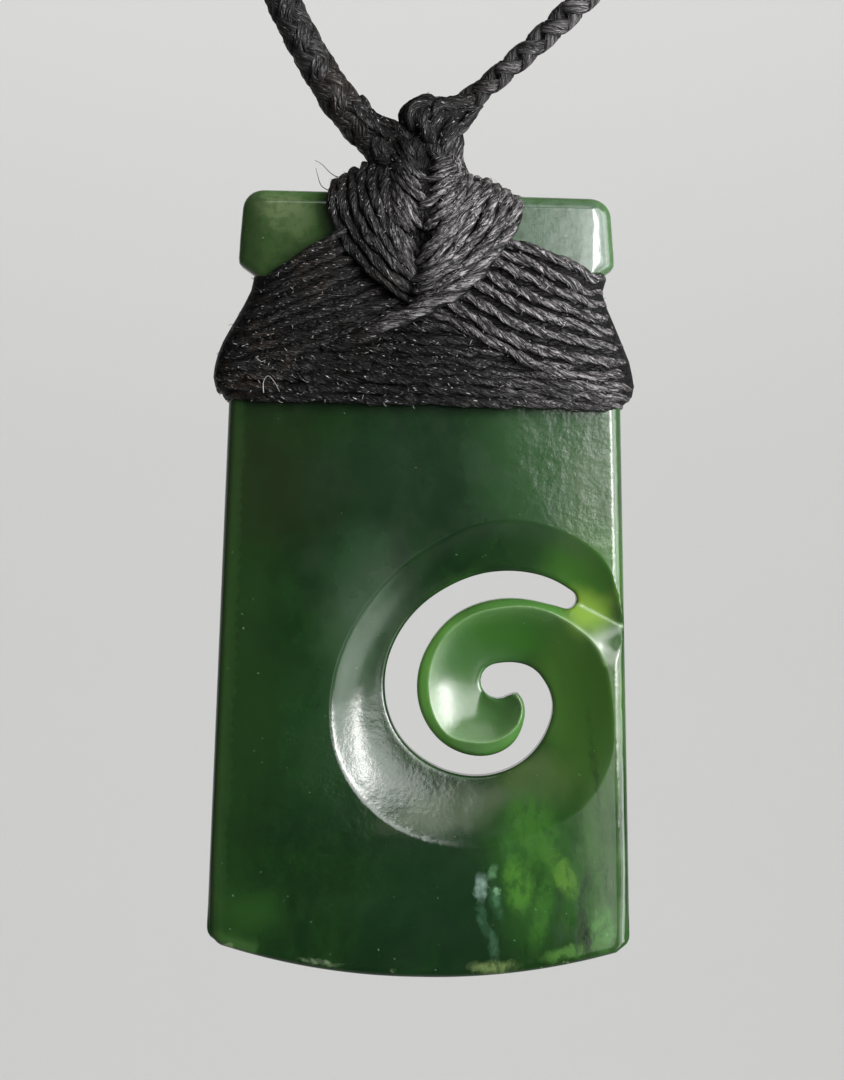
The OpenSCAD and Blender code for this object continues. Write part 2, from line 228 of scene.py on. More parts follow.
class Shade:
    """A material's node tree, built up call by call."""

    def __init__(self, name):
        self.material = bpy.data.materials.new(name)
        self.material.use_nodes = True
        self.nodes = self.material.node_tree.nodes
        self.links = self.material.node_tree.links
        self.surface = self.nodes["Principled BSDF"]

    def put(self, socket, value):
        if isinstance(value, Value):
            self.links.new(value.socket, socket)
        elif isinstance(value, tuple) and socket.type == "RGBA":
            socket.default_value = (*(part / 1000 for part in value), 1)
        else:
            socket.default_value = value

    def set(self, **values):
        """Give inputs of the surface a value; a colour is in thousandths."""
        for name, value in values.items():
            self.put(self.surface.inputs[name.replace("_", " ")], value)

    def node(self, kind, **settings):
        made = self.nodes.new(kind)
        for name, value in settings.items():
            setattr(made, name, value)
        return made

    def joined(self, made, values):
        """A node's first output, with its first inputs filled."""
        for socket, value in zip(made.inputs, values):
            self.put(socket, value)
        return Value(self, made.outputs[0])

    def math(self, operation, *values):
        return self.joined(self.node("ShaderNodeMath", operation=operation), values)

    def larger(self, a, b):
        return self.math("MAXIMUM", a, b)

    def mix(self, share, a, b):
        made = self.node("ShaderNodeMix", data_type="RGBA")
        for number, value in ((0, share), (6, a), (7, b)):
            self.put(made.inputs[number], value)
        return Value(self, made.outputs[2])

    def shifted(self, vector, factor, shift):
        """A vector times a factor, and then moved."""
        made = self.node("ShaderNodeVectorMath", operation="MULTIPLY_ADD")
        return self.joined(made, (vector, (factor,) * 3, shift))

    def place(self):
        """Millimetres in the blade's own frame."""
        coords = self.node("ShaderNodeTexCoord").outputs["Object"]
        return self.shifted(Value(self, coords), 1 / MM, tuple(-BLADE))

    def attribute(self, name, kind="Vector"):
        return Value(self, self.node("ShaderNodeAttribute", attribute_name=name).outputs[kind])

    def noise(self, vector, scale, detail=3.0, rough=0.5, distort=0.0, out="Fac",
              stretch=None, turn=(0, 0, 0)):
        """Noise, in a space that may be stretched and turned first."""
        if stretch:
            mapping = self.node("ShaderNodeMapping")
            self.put(mapping.inputs["Vector"], vector)
            mapping.inputs["Scale"].default_value = stretch
            mapping.inputs["Rotation"].default_value = turn
            vector = Value(self, mapping.outputs[0])
        made = self.node("ShaderNodeTexNoise")
        for name, value in (("Vector", vector), ("Scale", scale), ("Detail", detail), ("Roughness", rough),
                            ("Distortion", distort)):
            self.put(made.inputs[name], value)
        return Value(self, made.outputs[out])

    def bump(self, height, strength, distance, normal=None):
        made = self.node("ShaderNodeBump")
        for name, value in (("Strength", strength), ("Distance", distance), ("Height", height)):
            self.put(made.inputs[name], value)
        if normal:
            self.put(made.inputs["Normal"], normal)
        return Value(self, made.outputs[0])


def floor_material():
    shade = Shade("pale_floor")
    shade.set(Base_Color=(720, 720, 710), Roughness=0.9, Specular_IOR_Level=0.2)
    return shade.material


def nephrite():
    """Polished green stone: cloudy body, lighter carved parts, soft dark veins; painted highlights, glow and
    sheen.
    """
    shade = Shade("nephrite")
    place = shade.place()
    ridge, rim, chipped = shade.attribute("mark").split()
    # Noise moves places by up to wide mm for the clouds' borders and narrow mm for the marks', half of it on
    # average
    wide, narrow = 5.0, 1.0
    loose = shade.shifted(shade.noise(place, 0.16, 3, 0.55, out="Color"), wide, place)
    x, _, z = loose.split()
    near_x, _, near_z = shade.shifted(shade.noise(place, 1.5, 4, 0.65, out="Color"), narrow, place).split()

    def blob(cx, cz, rx, rz, soft, tilt=0.0, small=False):
        """1 inside an ellipse on the face whose border is loosened by noise, 0 outside it."""
        c, s = math.cos(tilt), math.sin(tilt)
        across_face, up_face, shift = (near_x, near_z, narrow) if small else (x, z, wide)
        dx = across_face - (cx + shift / 2)
        dz = up_face - (cz + shift / 2)
        along = dx * (c / rx) + dz * (s / rx)
        across = dx * (-s / rz) + dz * (c / rz)
        return shade.math("SQRT", along * along + across * across).ramp(1 - soft, 1 + soft, 1, 0)

    clouds = shade.noise(loose, 0.11, 5, 0.6, 0.6).ramp(0.35, 0.68)
    grain = shade.noise(place, 0.55, 6, 0.65, 0.8, stretch=(1, 1, 0.6), turn=(0, 0.5, 0)).ramp(0.4, 0.7)
    colour = shade.mix(clouds, DEEP_GREEN, BODY_GREEN)
    colour = shade.mix(grain * 0.45, colour, CLOUD_GREEN)
    for *spot, tint, share in TINTS:
        colour = shade.mix(blob(*spot) * share, colour, tint)
    vein = shade.noise(place, 0.42, 5, 0.7, 0.3, stretch=(1, 1, 0.45), turn=(0, 0.35, 0)).ramp(0.42, 0.72)
    colour = shade.mix(vein * (blob(11.5, -50.5, 4.5, 6.0, 0.7) * 0.75), colour, (7, 24, 7))
    mottle = shade.noise(place, 1.3, 5, 0.7, 0.5).ramp(0.45, 0.62) * z.ramp(-6.0, -4.0)
    colour = shade.mix(mottle * 0.45, colour, (12, 36, 8))
    streaks = shade.noise(place, 1.1, 5, 0.65, 0.5, stretch=(1, 1, 0.6), turn=(0, 0.3, 0))
    broken = streaks.ramp(0.38, 0.56, 0.3, 1.0)
    for *spot, tint, share in MARKS:
        colour = shade.mix(blob(*spot, small=True) * share * broken, colour, tint)
    specks = shade.noise(place, 2.6, 2, 0.5).ramp(0.735, 0.78)
    colour = shade.mix(specks * 0.45, colour, (160, 260, 160))
    # Painted highlight along the ridges and the crease, broken up by noise
    ridge_highlight = ridge * shade.noise(place, 1.0, 3, 0.5).ramp(0.25, 0.75, 0.4, 1.0)
    colour = shade.mix(ridge_highlight * 0.6, colour, (200, 300, 150))
    # Painted glow on the thin rims: the head's edges, the frond's lip and the long edges' bevels, most on the
    # left
    colour = shade.mix(rim * 0.6, colour, (60, 140, 36))
    # Painted glow on the frond's lip, brightest on its left
    painted_lip_glow = shade.mix(x.ramp(3.0, 6.5, 1.0, 0.0), (55, 155, 30), (210, 520, 100))
    colour = shade.mix(shade.attribute("lip", "Fac") * 0.85, colour, painted_lip_glow)
    chips = chipped * shade.noise(place, 0.9, 3, 0.6).ramp(0.62, 0.68)
    colour = shade.mix(chips * 0.5, colour, (180, 250, 120))

    dish = blob(-2.0, -43.0, 6.5, 5.5, 0.4)
    dull = shade.larger(blob(12.0, -19.0, 5.6, 8.5, 0.35), dish)
    polish = shade.noise(place, 0.35, 4, 0.6).ramp(0.3, 0.75, 0.10, 0.17)
    polish = polish + blob(*KORU, 11.0, 11.0, 0.25) * 0.08
    polish = polish + dull * 0.05
    polish = polish + blob(-3.5, -29.0, 4.5, 4.0, 0.6) * 0.12
    scratches = shade.noise(place, 1.1, 5, 0.7, stretch=(9, 1, 1.4), turn=(0, 0.6, 0))
    pits = shade.noise(place, 3.0, 3, 0.55) * (dull + dish)
    ripples = shade.noise(place, 0.9, 3, 0.5) * dull.ramp(0, 1, 0.3, 1.0)
    normal = shade.bump(scratches, 0.03, 0.00012)
    normal = shade.bump(pits, 0.085, 0.00012, normal)
    shade.set(Base_Color=colour, Subsurface_Weight=0.2, Subsurface_Scale=0.0012, IOR=1.61, Coat_Weight=0.0,
              Roughness=polish + shade.larger(ridge * 0.2, rim * 0.14),
              Normal=shade.bump(ripples, 0.16, 0.00025, normal))
    shade.surface.inputs["Subsurface Radius"].default_value = (0.35, 1.0, 0.30)
    return shade.material


# The koru's tables, with angles in degrees about its centre
KORU = np.array([4.6, -36.7])
# The slot's middle line: angle, radius, width
SLOT = np.array([
    [48, 9.20, 1.45], [60, 8.70, 1.90], [85, 7.80, 2.05], [110, 7.05, 2.05], [140, 6.45, 2.30],
    [173, 6.15, 2.40], [206, 6.00, 2.25], [240, 5.80, 1.75], [275, 5.60, 1.45], [300, 5.30, 1.50],
    [325, 4.75, 1.85], [345, 4.30, 2.10], [362, 3.70, 2.10], [377, 2.95, 2.20], [392, 1.30, 2.60]])
# Outer border of the carved groove, from its start at the right edge in to the frond's tip:
# angle, radius, depth on its inner side, depth on the border itself
GROOVE = np.array([
    [16, 11.9, 0.9, 0], [32, 12.2, 1.0, 0], [50, 13.2, 1.05, 0], [70, 13.1, 1.0, 0], [90, 12.5, 1.15, 0],
    [112, 11.4, 1.35, 0], [137, 10.8, 1.5, 0], [161, 10.9, 1.5, 0], [184, 11.4, 1.5, 0],
    [206, 12.0, 1.5, 0], [230, 12.2, 1.5, 0], [256, 11.9, 1.5, 0], [278, 11.5, 1.45, 0],
    [296, 11.4, 1.4, 0], [313, 11.4, 1.4, 0], [332, 10.8, 1.4, 0], [356, 9.6, 1.4, 0], [380, 9.1, 1.4, 0],
    [396, 8.3, 1.4, 0.05], [416, 7.4, 1.4, 0.12], [438, 6.3, 1.4, 0.18], [461, 5.6, 1.4, 0.2],
    [482, 5.05, 1.4, 0.2], [511, 4.4, 1.4, 0.2], [540, 4.08, 1.4, 0.2], [562, 4.08, 1.4, 0.2],
    [592, 4.22, 1.4, 0.2], [617, 3.95, 1.4, 0.2], [655, 3.8, 1.2, 0.25], [677, 3.6, 1.0, 0.3],
    [695, 3.2, 0.8, 0.35], [708, 2.75, 0.6, 0.4], [716, 2.3, 0.5, 0.4]])
# How softly the groove begins along its outer border: angle, share of its width
BORDER_BLEND = np.array([
    [16, 0.02], [100, 0.04], [125, 0.12], [150, 0.18], [190, 0.14], [215, 0.06], [270, 0.06], [300, 0.10],
    [350, 0.06], [380, 0.005]])
# How steeply the hollow's bowl rises to its outer border: angle, power
BOWL_POWER = np.array([[150, 2.0], [185, 2.4], [210, 2.4], [235, 2.0], [262, 1.4], [330, 1.7]])
RIDGE_FROM = 372.0
LIP_DEPTH = 1.0
# Where the crease from the slot's outer end meets the stone's right edge
CREASE_OUT = np.array([11.1, 3.8])
FAR = 1e3


def smooth(table, step):
    """A Catmull-Rom curve through the table's rows, sampled about every step of its first two columns."""
    table = np.asarray(table, float)
    ends = np.vstack([2 * table[0] - table[1], table, 2 * table[-1] - table[-2]])
    rows = []
    for i in range(1, len(ends) - 2):
        a, b, c, d = ends[i - 1:i + 3]
        n = max(1, int(math.ceil(np.linalg.norm((c - b)[:3]) / step)))
        t = np.linspace(0, 1, n, endpoint=False)[:, None]
        rows.append(0.5 * (2 * b + (c - a) * t + (2 * a - 5 * b + 4 * c - d) * t ** 2
                           + (3 * b - a - 3 * c + d) * t ** 3))
    return np.vstack(rows + [table[-1:]])


def smooth_turning(table, step=0.12):
    """The same for rows that begin with an angle, of which ten degrees count as a millimetre."""
    others = [1] * (table.shape[1] - 1)
    return smooth(table * [0.1, *others], step) * [10, *others]


def polar(angle, radius):
    a = np.radians(angle)
    return np.column_stack([radius * np.cos(a), radius * np.sin(a)])


def closed(ring):
    return np.vstack([ring, ring[:1]])


def evenly(line, step):
    """The same line with points about step apart."""
    gone = np.concatenate([[0], np.cumsum(np.linalg.norm(np.diff(line, axis=0), axis=1))])
    n = max(2, int(round(gone[-1] / step)) + 1)
    at = np.linspace(0, gone[-1], n)
    return np.column_stack([np.interp(at, gone, line[:, k]) for k in range(line.shape[1])])


def unit(vectors):
    return vectors / np.linalg.norm(vectors, axis=1)[:, None]


def sideways(line):
    """Unit vectors to the right of a plane line's way on."""
    run = unit(np.gradient(line, axis=0))
    return np.column_stack([run[:, 1], -run[:, 0]])


def to_line(points, line, tags=None, near=None, window=55.0):
    """Distance of points to a line; with tags, only pieces whose tag is within window of a point's near."""
    best = np.full(len(points), FAR)
    for i in range(len(line) - 1):
        p, run = line[i], line[i + 1] - line[i]
        t = np.clip((points - p) @ run / max(run @ run, 1e-12), 0, 1)
        gap = np.hypot(*(points - p - t[:, None] * run).T)
        if tags is not None:
            gap = np.where(np.abs(near - tags[i]) <= window, gap, FAR)
        best = np.minimum(best, gap)
    return best


def inside(points, ring):
    """Which points lie in a closed ring, by the crossing rule."""
    x, z = points.T
    result = np.zeros(len(points), bool)
    for (x0, z0), (x1, z1) in zip(ring, np.roll(ring, -1, axis=0)):
        hit = ((z0 > z) != (z1 > z)) & (x < (x1 - x0) * (z - z0) / ((z1 - z0) or 1e-12) + x0)
        result ^= hit
    return result


def step_up(value, low, high):
    t = np.clip((value - low) / (high - low), 0, 1)
    return t * t * (3 - 2 * t)


# The stone: lengths, thicknesses, half widths, and heights from the head's top down
BLADE_LEN, BLADE_T, HEAD_T, EDGE_T, EDGE_BEVEL, EDGE_R = 58.0, 5.4, 4.4, 0.7, 12.0, 50.0
HALF_HEAD, HALF_WAIST, HALF_SHOULDER, HALF_EDGE = 13.95, 12.2, 14.45, 15.7
HEAD_H, NOTCH_TOP, NOTCH_END, SHOULDER_AT = 5.1, 6.5, 7.5, 12.6
# How far the front falls to its sides, below and on the head
CROWN, HEAD_CROWN = 0.30, 0.45
# How far the head's top edge rises in the middle and falls to the right, per mm
HEAD_RISE, SLOPE = 0.12, 0.0154
RING_STEP = 0.35
# The long edges' bevel in two flats: distance from the side, depth
BEVEL = np.array([[0.0, 0.9], [0.36, 0.22], [0.9, 0.0]])
THINNEST = 0.12
WALL_LAYERS = 7
# Rows of points that follow the stone's outline, the slot, the groove's border and the crease, by distance
RING_ROWS = (0.04, 0.1, 0.18, 0.3, 0.6, 0.88, 0.96)
SLOT_ROWS = (0.03, 0.08, 0.16, 0.28, 0.44)
BORDER_ROWS = (-0.24, -0.09, 0.0, 0.09, 0.24)
CREASE_ROWS = (-0.2, -0.07, 0.0, 0.07, 0.2)
# The points between them: lowest and highest x and z, pitch, distance kept from the rows
KORU_FIELD = ((-10, -52), (15.7, -22), 0.2, 0.13)
PLAIN_FIELD = ((-15.7, -58), (15.7, 0.3), 0.5, 0.3)
KORU_REACH = 14.2


def arc(centre, radius, start, end, n):
    a = np.radians(np.linspace(start, end, n))
    return np.column_stack([centre[0] + radius * np.cos(a), centre[1] + radius * np.sin(a)])


def blade_ring():
    """The stone's outline, counter-clockwise from the front."""
    sag = EDGE_R - math.sqrt(EDGE_R ** 2 - HALF_EDGE ** 2)
    corner, head_corner, foot = 0.9, 1.5, sag - BLADE_LEN
    right = np.vstack([
        arc((HALF_HEAD - 0.25 - head_corner, -head_corner), head_corner, 90, 4, 9),
        [(HALF_HEAD, -4.6)], arc((HALF_HEAD - 0.5, -HEAD_H + 0.1), 0.5, 0, -45, 4),
        [(HALF_WAIST, -NOTCH_TOP), (HALF_WAIST, -NOTCH_END), (HALF_SHOULDER, -SHOULDER_AT)],
        arc((HALF_EDGE - corner, foot + corner), corner, 0, -70, 6)])
    bottom = arc((0, EDGE_R - BLADE_LEN), EDGE_R, -90 + 17.2, -90 - 17.2, 60)
    left = right[::-1] * [-1, 1]
    ring = np.vstack([right, bottom, left, right[:1]])[::-1]
    ring = evenly(ring, RING_STEP)[:-1]
    ring[:, 1] -= np.where(ring[:, 1] > -4, SLOPE * ring[:, 0] - HEAD_RISE, 0)
    ring[:, 1] -= SLOPE * np.maximum(ring[:, 0], 0) * step_up(-ring[:, 1], 44, 54)
    return ring


slot_rows = smooth_turning(SLOT)
slot_line = polar(slot_rows[:, 0], slot_rows[:, 1])
slot_right = slot_line + sideways(slot_line) * slot_rows[:, 2:] / 2
slot_left = slot_line - sideways(slot_line) * slot_rows[:, 2:] / 2
groove_rows = smooth_turning(GROOVE)
groove_line = polar(groove_rows[:, 0], groove_rows[:, 1])
crease = np.vstack([CREASE_OUT * 1.08, slot_line[0]])
# The slot's walls and the crease that carries on from its outer end, each with the angles of its points
WALLS = ((slot_right, slot_rows[:, 0]), (slot_left, slot_rows[:, 0]), (crease, np.array([20.0, 48.0])))


def slot_cap(i, turn):
    side = sideways(slot_line)[i]
    a = math.degrees(math.atan2(side[0], -side[1]))
    return arc(slot_line[i], slot_rows[i, 2] / 2, a + turn, a + turn + 180, 9)[1:-1]


slot_ring = closed(np.vstack([slot_right, slot_cap(-1, -90), slot_left[::-1], slot_cap(0, 90)]))
slot_ring = evenly(slot_ring, 0.16)[:-1]


def groove_at(angle, column):
    return np.interp(angle, groove_rows[:, 0], groove_rows[:, column])


def to_walls(points, near, window):
    return np.minimum.reduce([to_line(points, line, tags, near, window) for line, tags in WALLS])


def carved(points):
    """Depth of the koru's carving below the front face at points about the koru's centre."""
    radius = np.hypot(*points.T)
    angle = np.degrees(np.arctan2(points[:, 1], points[:, 0])) % 360
    middle, middle_end = (np.interp(at, slot_rows[:, 0], slot_rows[:, 1]) for at in (angle, angle + 360))
    run, off = crease[1] - crease[0], points - crease[0]
    above = run[0] * off[:, 1] - run[1] * off[:, 0] < 0
    first, last = angle < SLOT[0, 0], SLOT[-1, 0]
    turned = np.where(np.where(first, above, radius > middle), angle, angle + 360)
    turned = np.where(first & ~above & (angle < last - 360) & (radius < middle_end), angle + 720, turned)
    turned = np.minimum(turned, groove_rows[-1, 0])

    inner = to_walls(points, np.minimum(turned, last), np.where(turned <= last, 55.0, 40.0))
    to_end = np.abs(np.hypot(*(points - slot_line[-1]).T) - slot_rows[-1, 2] / 2)
    inner = np.minimum(inner, np.where(turned > last - 40, to_end, FAR))
    border = to_line(points, groove_line, groove_rows[:, 0], turned, 60.0)
    share = inner / np.maximum(inner + border, 1e-6)
    deep, brink = groove_at(turned, 2), groove_at(turned, 3)
    blend = np.interp(turned, *BORDER_BLEND.T)
    bowl = 1 - share ** np.interp(turned, *BOWL_POWER.T)
    bowl = brink + (deep - brink) * bowl * (1 - share) / (1 - share + blend) * (1 + blend)
    depth = np.where(radius < groove_at(turned, 1), bowl, 0.0)

    lip_angle = np.where(turned > 408, turned, np.where(first, angle + 360, 0))
    beyond = (lip_angle > RIDGE_FROM - 2) & (radius > groove_at(lip_angle, 1)) & ~(first & above)
    ridge_gap = to_line(points, groove_line, groove_rows[:, 0], lip_angle, 50.0)
    share = ridge_gap / np.maximum(ridge_gap + to_walls(points, lip_angle - 360, 60.0), 1e-6)
    brink = groove_at(lip_angle, 3)
    slope = brink + (LIP_DEPTH - brink) * share * step_up(lip_angle, RIDGE_FROM - 2, RIDGE_FROM + 12)
    return np.where(beyond, slope, depth)


def edge_round(gap, radius):
    t = np.clip(1 - gap / radius, 0, 1)
    return radius * (1 - np.sqrt(np.maximum(1 - t * t, 0)))


def facet(gap, start, slope):
    """A flat bevel that begins softly at a distance from the border."""
    t = np.clip(start - gap, 0, None)
    return slope * np.where(t < 0.4, t * t / 0.8, t - 0.2)


def taper(z):
    """How much less thick each side of the head is than the blade."""
    return np.clip(1 + z / SHOULDER_AT, 0, 1) * (BLADE_T - HEAD_T) / 2


def front_depth(points, gap, slot_gap):
    x, z = points.T
    side = np.minimum(np.abs(x - HALF_EDGE), np.abs(x + HALF_EDGE))
    slant = (HALF_EDGE - HALF_SHOULDER) * np.clip((z + 50) / (50 - SHOULDER_AT), 0, 1)
    bevel = np.interp(side - slant, *BEVEL.T) * step_up(-z, 9, 11)
    head = step_up(z, -8.5, -6.5)
    crown = (CROWN * np.clip(np.abs(x) / HALF_EDGE, 0, 1) ** 4 * (1 - head)
             + HEAD_CROWN * np.clip(np.abs(x) / HALF_HEAD, 0, 1) ** 2.2 * head + 0.10 * step_up(-z, 46, 60))
    near_koru = np.hypot(*(points - KORU).T) < 15
    koru = np.zeros(len(points))
    koru[near_koru] = carved(points[near_koru] - KORU)
    cheek = facet(HALF_HEAD - np.abs(x), 1.9, 0.40) * head + facet(-0.1 - z, 0.85, 0.55) * head
    return (taper(z) + np.maximum(np.maximum(bevel, koru), 0) + crown + cheek
            + edge_round(gap, 0.32 + 0.35 * head) + edge_round(slot_gap, 0.3))


def back_depth(points, gap, slot_gap):
    x, z = points.T
    out = np.hypot(x, z - (EDGE_R - BLADE_LEN))
    ground = np.clip((out - (EDGE_R - EDGE_BEVEL)) / EDGE_BEVEL, 0, 1.02) * (BLADE_T - EDGE_T - 0.1)
    ground = np.where(z < -20, ground, 0)
    return taper(z) + ground + edge_round(gap, np.where(z < -50, 0.18, 0.5)) + edge_round(slot_gap, 0.45)


def inset(ring, gap):
    """A closed counter-clockwise ring moved inwards."""
    run = unit(np.roll(ring, -1, axis=0) - np.roll(ring, 1, axis=0))
    return ring + gap * np.column_stack([-run[:, 1], run[:, 0]])


def lattice(low, high, pitch):
    xs = np.arange(low[0], high[0], pitch)
    zs = np.arange(low[1], high[1], pitch * math.sqrt(3) / 2)
    return np.array([(x + (j % 2) * pitch / 2, z) for j, z in enumerate(zs) for x in xs])


def finder(points):
    tree = kdtree.KDTree(len(points))
    for i, (x, z) in enumerate(points):
        tree.insert((x, z, 0), i)
    tree.balance()
    return tree


def thinned(points, pitch):
    """The points without those that lie closer than pitch to an earlier one that stays."""
    tree, gone = finder(points), np.zeros(len(points), bool)
    for i, (x, z) in enumerate(points):
        if not gone[i]:
            for _, j, _ in tree.find_range((x, z, 0), pitch):
                gone[j] |= j > i
    return points[~gone]


def blade_points(ring, slot):
    """Points inside the stone's outline: rows along every border, and even fields between them."""
    rows = [inset(ring, gap) for gap in RING_ROWS] + [inset(slot, -gap) for gap in SLOT_ROWS]
    for line, gaps in ((evenly(groove_line, 0.2), BORDER_ROWS), (evenly(crease, 0.2), CREASE_ROWS)):
        rows += [line + gap * sideways(line) + KORU for gap in gaps]
    rows = thinned(np.vstack(rows), 0.035)
    tree, kept = finder(rows), [rows]
    for (low, high, pitch, clear), near in ((KORU_FIELD, True), (PLAIN_FIELD, False)):
        field = lattice(low, high, pitch)
        away = np.hypot(*(field - KORU).T)
        field = field[away < KORU_REACH] if near else field[away >= KORU_REACH + 0.2]
        kept.append([(x, z) for x, z in field if tree.find((x, z, 0))[2] > clear])
    points = np.vstack(kept)
    points = points[inside(points, ring) & ~inside(points, slot)]
    return points[(to_line(points, closed(ring)) > 0.03) & (to_line(points, closed(slot)) > 0.022)]


def make_blade(material):
    ring = blade_ring()
    slot = slot_ring + KORU
    if ((np.roll(slot, -1, 0) - slot)[:, 0] * slot[:, 1]).sum() > 0:
        slot = slot[::-1]
    n_ring, n_slot = len(ring), len(slot)
    points = np.vstack([ring, slot, blade_points(ring, slot)])
    edges = [(i, (i + 1) % n_ring) for i in range(n_ring)]
    edges += [(n_ring + i, n_ring + (i + 1) % n_slot) for i in range(n_slot)]
    out, _, faces, came, _, _ = geometry.delaunay_2d_cdt([Vector(p) for p in points], edges, [], 0, 1e-6)
    plan = np.array([(p.x, p.y) for p in out])
    faces = np.array(faces)
    middle = plan[faces].mean(axis=1)
    faces = faces[inside(middle, ring) & ~inside(middle, slot)]
    index = {old: new for new, olds in enumerate(came) for old in olds}
    loops = [[index[i] for i in range(n_ring)], [index[n_ring + i] for i in range(n_slot)]]

    gaps = to_line(plan, closed(ring)), to_line(plan, closed(slot))
    front = -BLADE_T / 2 + front_depth(plan, *gaps)
    back = BLADE_T / 2 - back_depth(plan, *gaps)
    thin_wall = front > back - THINNEST
    front = np.where(thin_wall, (front + back) / 2 - THINNEST / 2, front)
    back = np.where(thin_wall, front + THINNEST, back)
    n = len(plan)
    verts = [np.column_stack([plan[:, 0], y, plan[:, 1]]) for y in (front, back)]
    all_faces = [tuple(f) for f in faces] + [(f[0] + n, f[2] + n, f[1] + n) for f in faces]
    start = 2 * n
    for loop in loops:
        rings = [list(loop)]
        for k in range(1, WALL_LAYERS):
            t = k / WALL_LAYERS
            depth = front[loop] * (1 - t) + back[loop] * t
            verts.append(np.column_stack([plan[loop, 0], depth, plan[loop, 1]]))
            rings.append(list(range(start, start + len(loop))))
            start += len(loop)
        rings.append([i + n for i in loop])
        for a, b in zip(rings, rings[1:]):
            for i in range(len(loop)):
                j = (i + 1) % len(loop)
                all_faces.append((a[i], b[i], b[j], a[j]))
    verts = np.vstack(verts)
    obj = make_mesh("toki_stone", verts, all_faces, material, turn_out=True)
    marks, lip = chips_and_painted_light(verts, ring)
    obj.data.attributes.new("mark", "FLOAT_VECTOR", "POINT").data.foreach_set("vector", marks.ravel())
    obj.data.attributes.new("lip", "FLOAT", "POINT").data.foreach_set("value", lip)
    return obj


def chips_and_painted_light(verts, ring):
    """How far points lie on ridges (painted highlight), thin rims (painted glow), the chipped border, and the
    frond's lip (painted glow).
    """
    plan, front = verts[:, [0, 2]], verts[:, 1] < 0
    x, z = plan.T
    away = plan - KORU
    near = np.hypot(*away.T) < 15
    ridge = groove_line[groove_rows[:, 0] > RIDGE_FROM]
    lip = groove_line[(groove_rows[:, 0] > 410) & (groove_rows[:, 0] < 690)]
    ridge_gap, lip_gap = np.full((2, len(verts)), 9.0)
    ridge_gap[near] = np.minimum(to_line(plan[near], ridge + KORU), 1.4 * to_line(plan[near], crease + KORU))
    lip_gap[near] = to_line(plan[near], lip + KORU)
    edge = to_line(plan, closed(ring))
    marks = np.zeros((len(verts), 3))
    marks[:, 0] = np.where(front, np.exp(-(ridge_gap / 0.16) ** 2), 0)
    rims = np.exp(-(edge / 0.4) ** 2) * step_up(z, -8.0, -6.5)
    lips = np.where(front, 0.9 * np.exp(-(lip_gap / 0.75) ** 2), 0)
    sides = step_up(-z, 12.0, 14.0) * np.where(x < 0, 0.55, 0.2) * (np.abs(x) > 12)
    marks[:, 1] = np.maximum(np.maximum(rims, lips), np.exp(-(edge / 0.9) ** 4) * sides)
    marks[:, 2] = np.exp(-(edge / 0.35) ** 2) * step_up(-z, 54.5, 55.5)
    outside = np.hypot(*away.T) > groove_at(np.degrees(np.arctan2(away[:, 1], away[:, 0])) % 360 + 360, 1)
    return marks, np.where(front & outside, np.exp(-(lip_gap / 1.2) ** 4), 0.0)


def make_mesh(name, verts, faces, material, turn_out=False):
    """An object from points in the blade's own frame."""
    mesh = bpy.data.meshes.new(name)
    places = (np.asarray(verts) + BLADE) * MM
    mesh.from_pydata(places.tolist(), [], [tuple(int(i) for i in face) for face in faces])
    if turn_out:
        work = bmesh.new()
        work.from_mesh(mesh)
        bmesh.ops.recalc_face_normals(work, faces=work.faces)
        work.to_mesh(mesh)
        work.free()
    mesh.polygons.foreach_set("use_smooth", [True] * len(mesh.polygons))
    mesh.materials.append(material)
    mesh.update()
    return add_object(name, mesh)


# Radii of the waxed cord: in the wrap, in its arches over the head, braid and band, and in the lashing's rows
# and fans
STRAND_R, ARCH_R, BRAID_R, BAND_R, ROW_R, FAN_R = 0.48, 0.42, 0.37, 0.66, 0.43, 0.41
STRAND_PITCH = 7.0
# One ply's outline and how high its parts lie, across it
PLY_FORM = (0.82, 0.95, 1.05, 1.0, 0.90)
PLY_HEIGHT = (0.28, 0.8, 1.0, 0.9, 0.6)
# How far the pattern of each strand is moved along from the last one's
PATTERN_SHIFT = 23.7
# The photograph: pixels per mm, the pixel at the head's top on its middle line, and where that is in x
PX_PER_MM = 13.5
TOP_PX = (422.4, 194.0)
TOP_X = -0.35


def seen(points):
    """Places read off the photograph, in its pixels, as widths and heights in the blade's frame."""
    points = np.asarray(points, float)
    u, v = (points[:, 0] - TOP_PX[0]) / PX_PER_MM, (TOP_PX[1] - points[:, 1]) / PX_PER_MM
    return np.column_stack([u * math.cos(ROLL) - v * math.sin(ROLL) + TOP_X,
                            u * math.sin(ROLL) + v * math.cos(ROLL)])


def as_seen(plan, front):
    """Points that lie before or behind the blade's middle where the photograph shows them."""
    x, z = (VIEW_CENTRE - BLADE)[[0, 2]]
    nearer = 1 + np.asarray(front, float) / CAMERA_AWAY
    return np.column_stack([x + (plan[:, 0] - x) * nearer, front, z + (plan[:, 1] - z) * nearer])


def carried(line):
    """A pair of unit vectors across a line, without twist along it; the first starts away from the stone."""
    along = unit(np.gradient(line, axis=0))
    side = np.zeros_like(line)
    last = np.array([0.0, 1.0 if line[0, 1] > 0.5 else -1.0, 0.02])
    for i, a in enumerate(along):
        last = last - a * (last @ a)
        last /= np.linalg.norm(last)
        side[i] = last
    return side, np.cross(along, side)


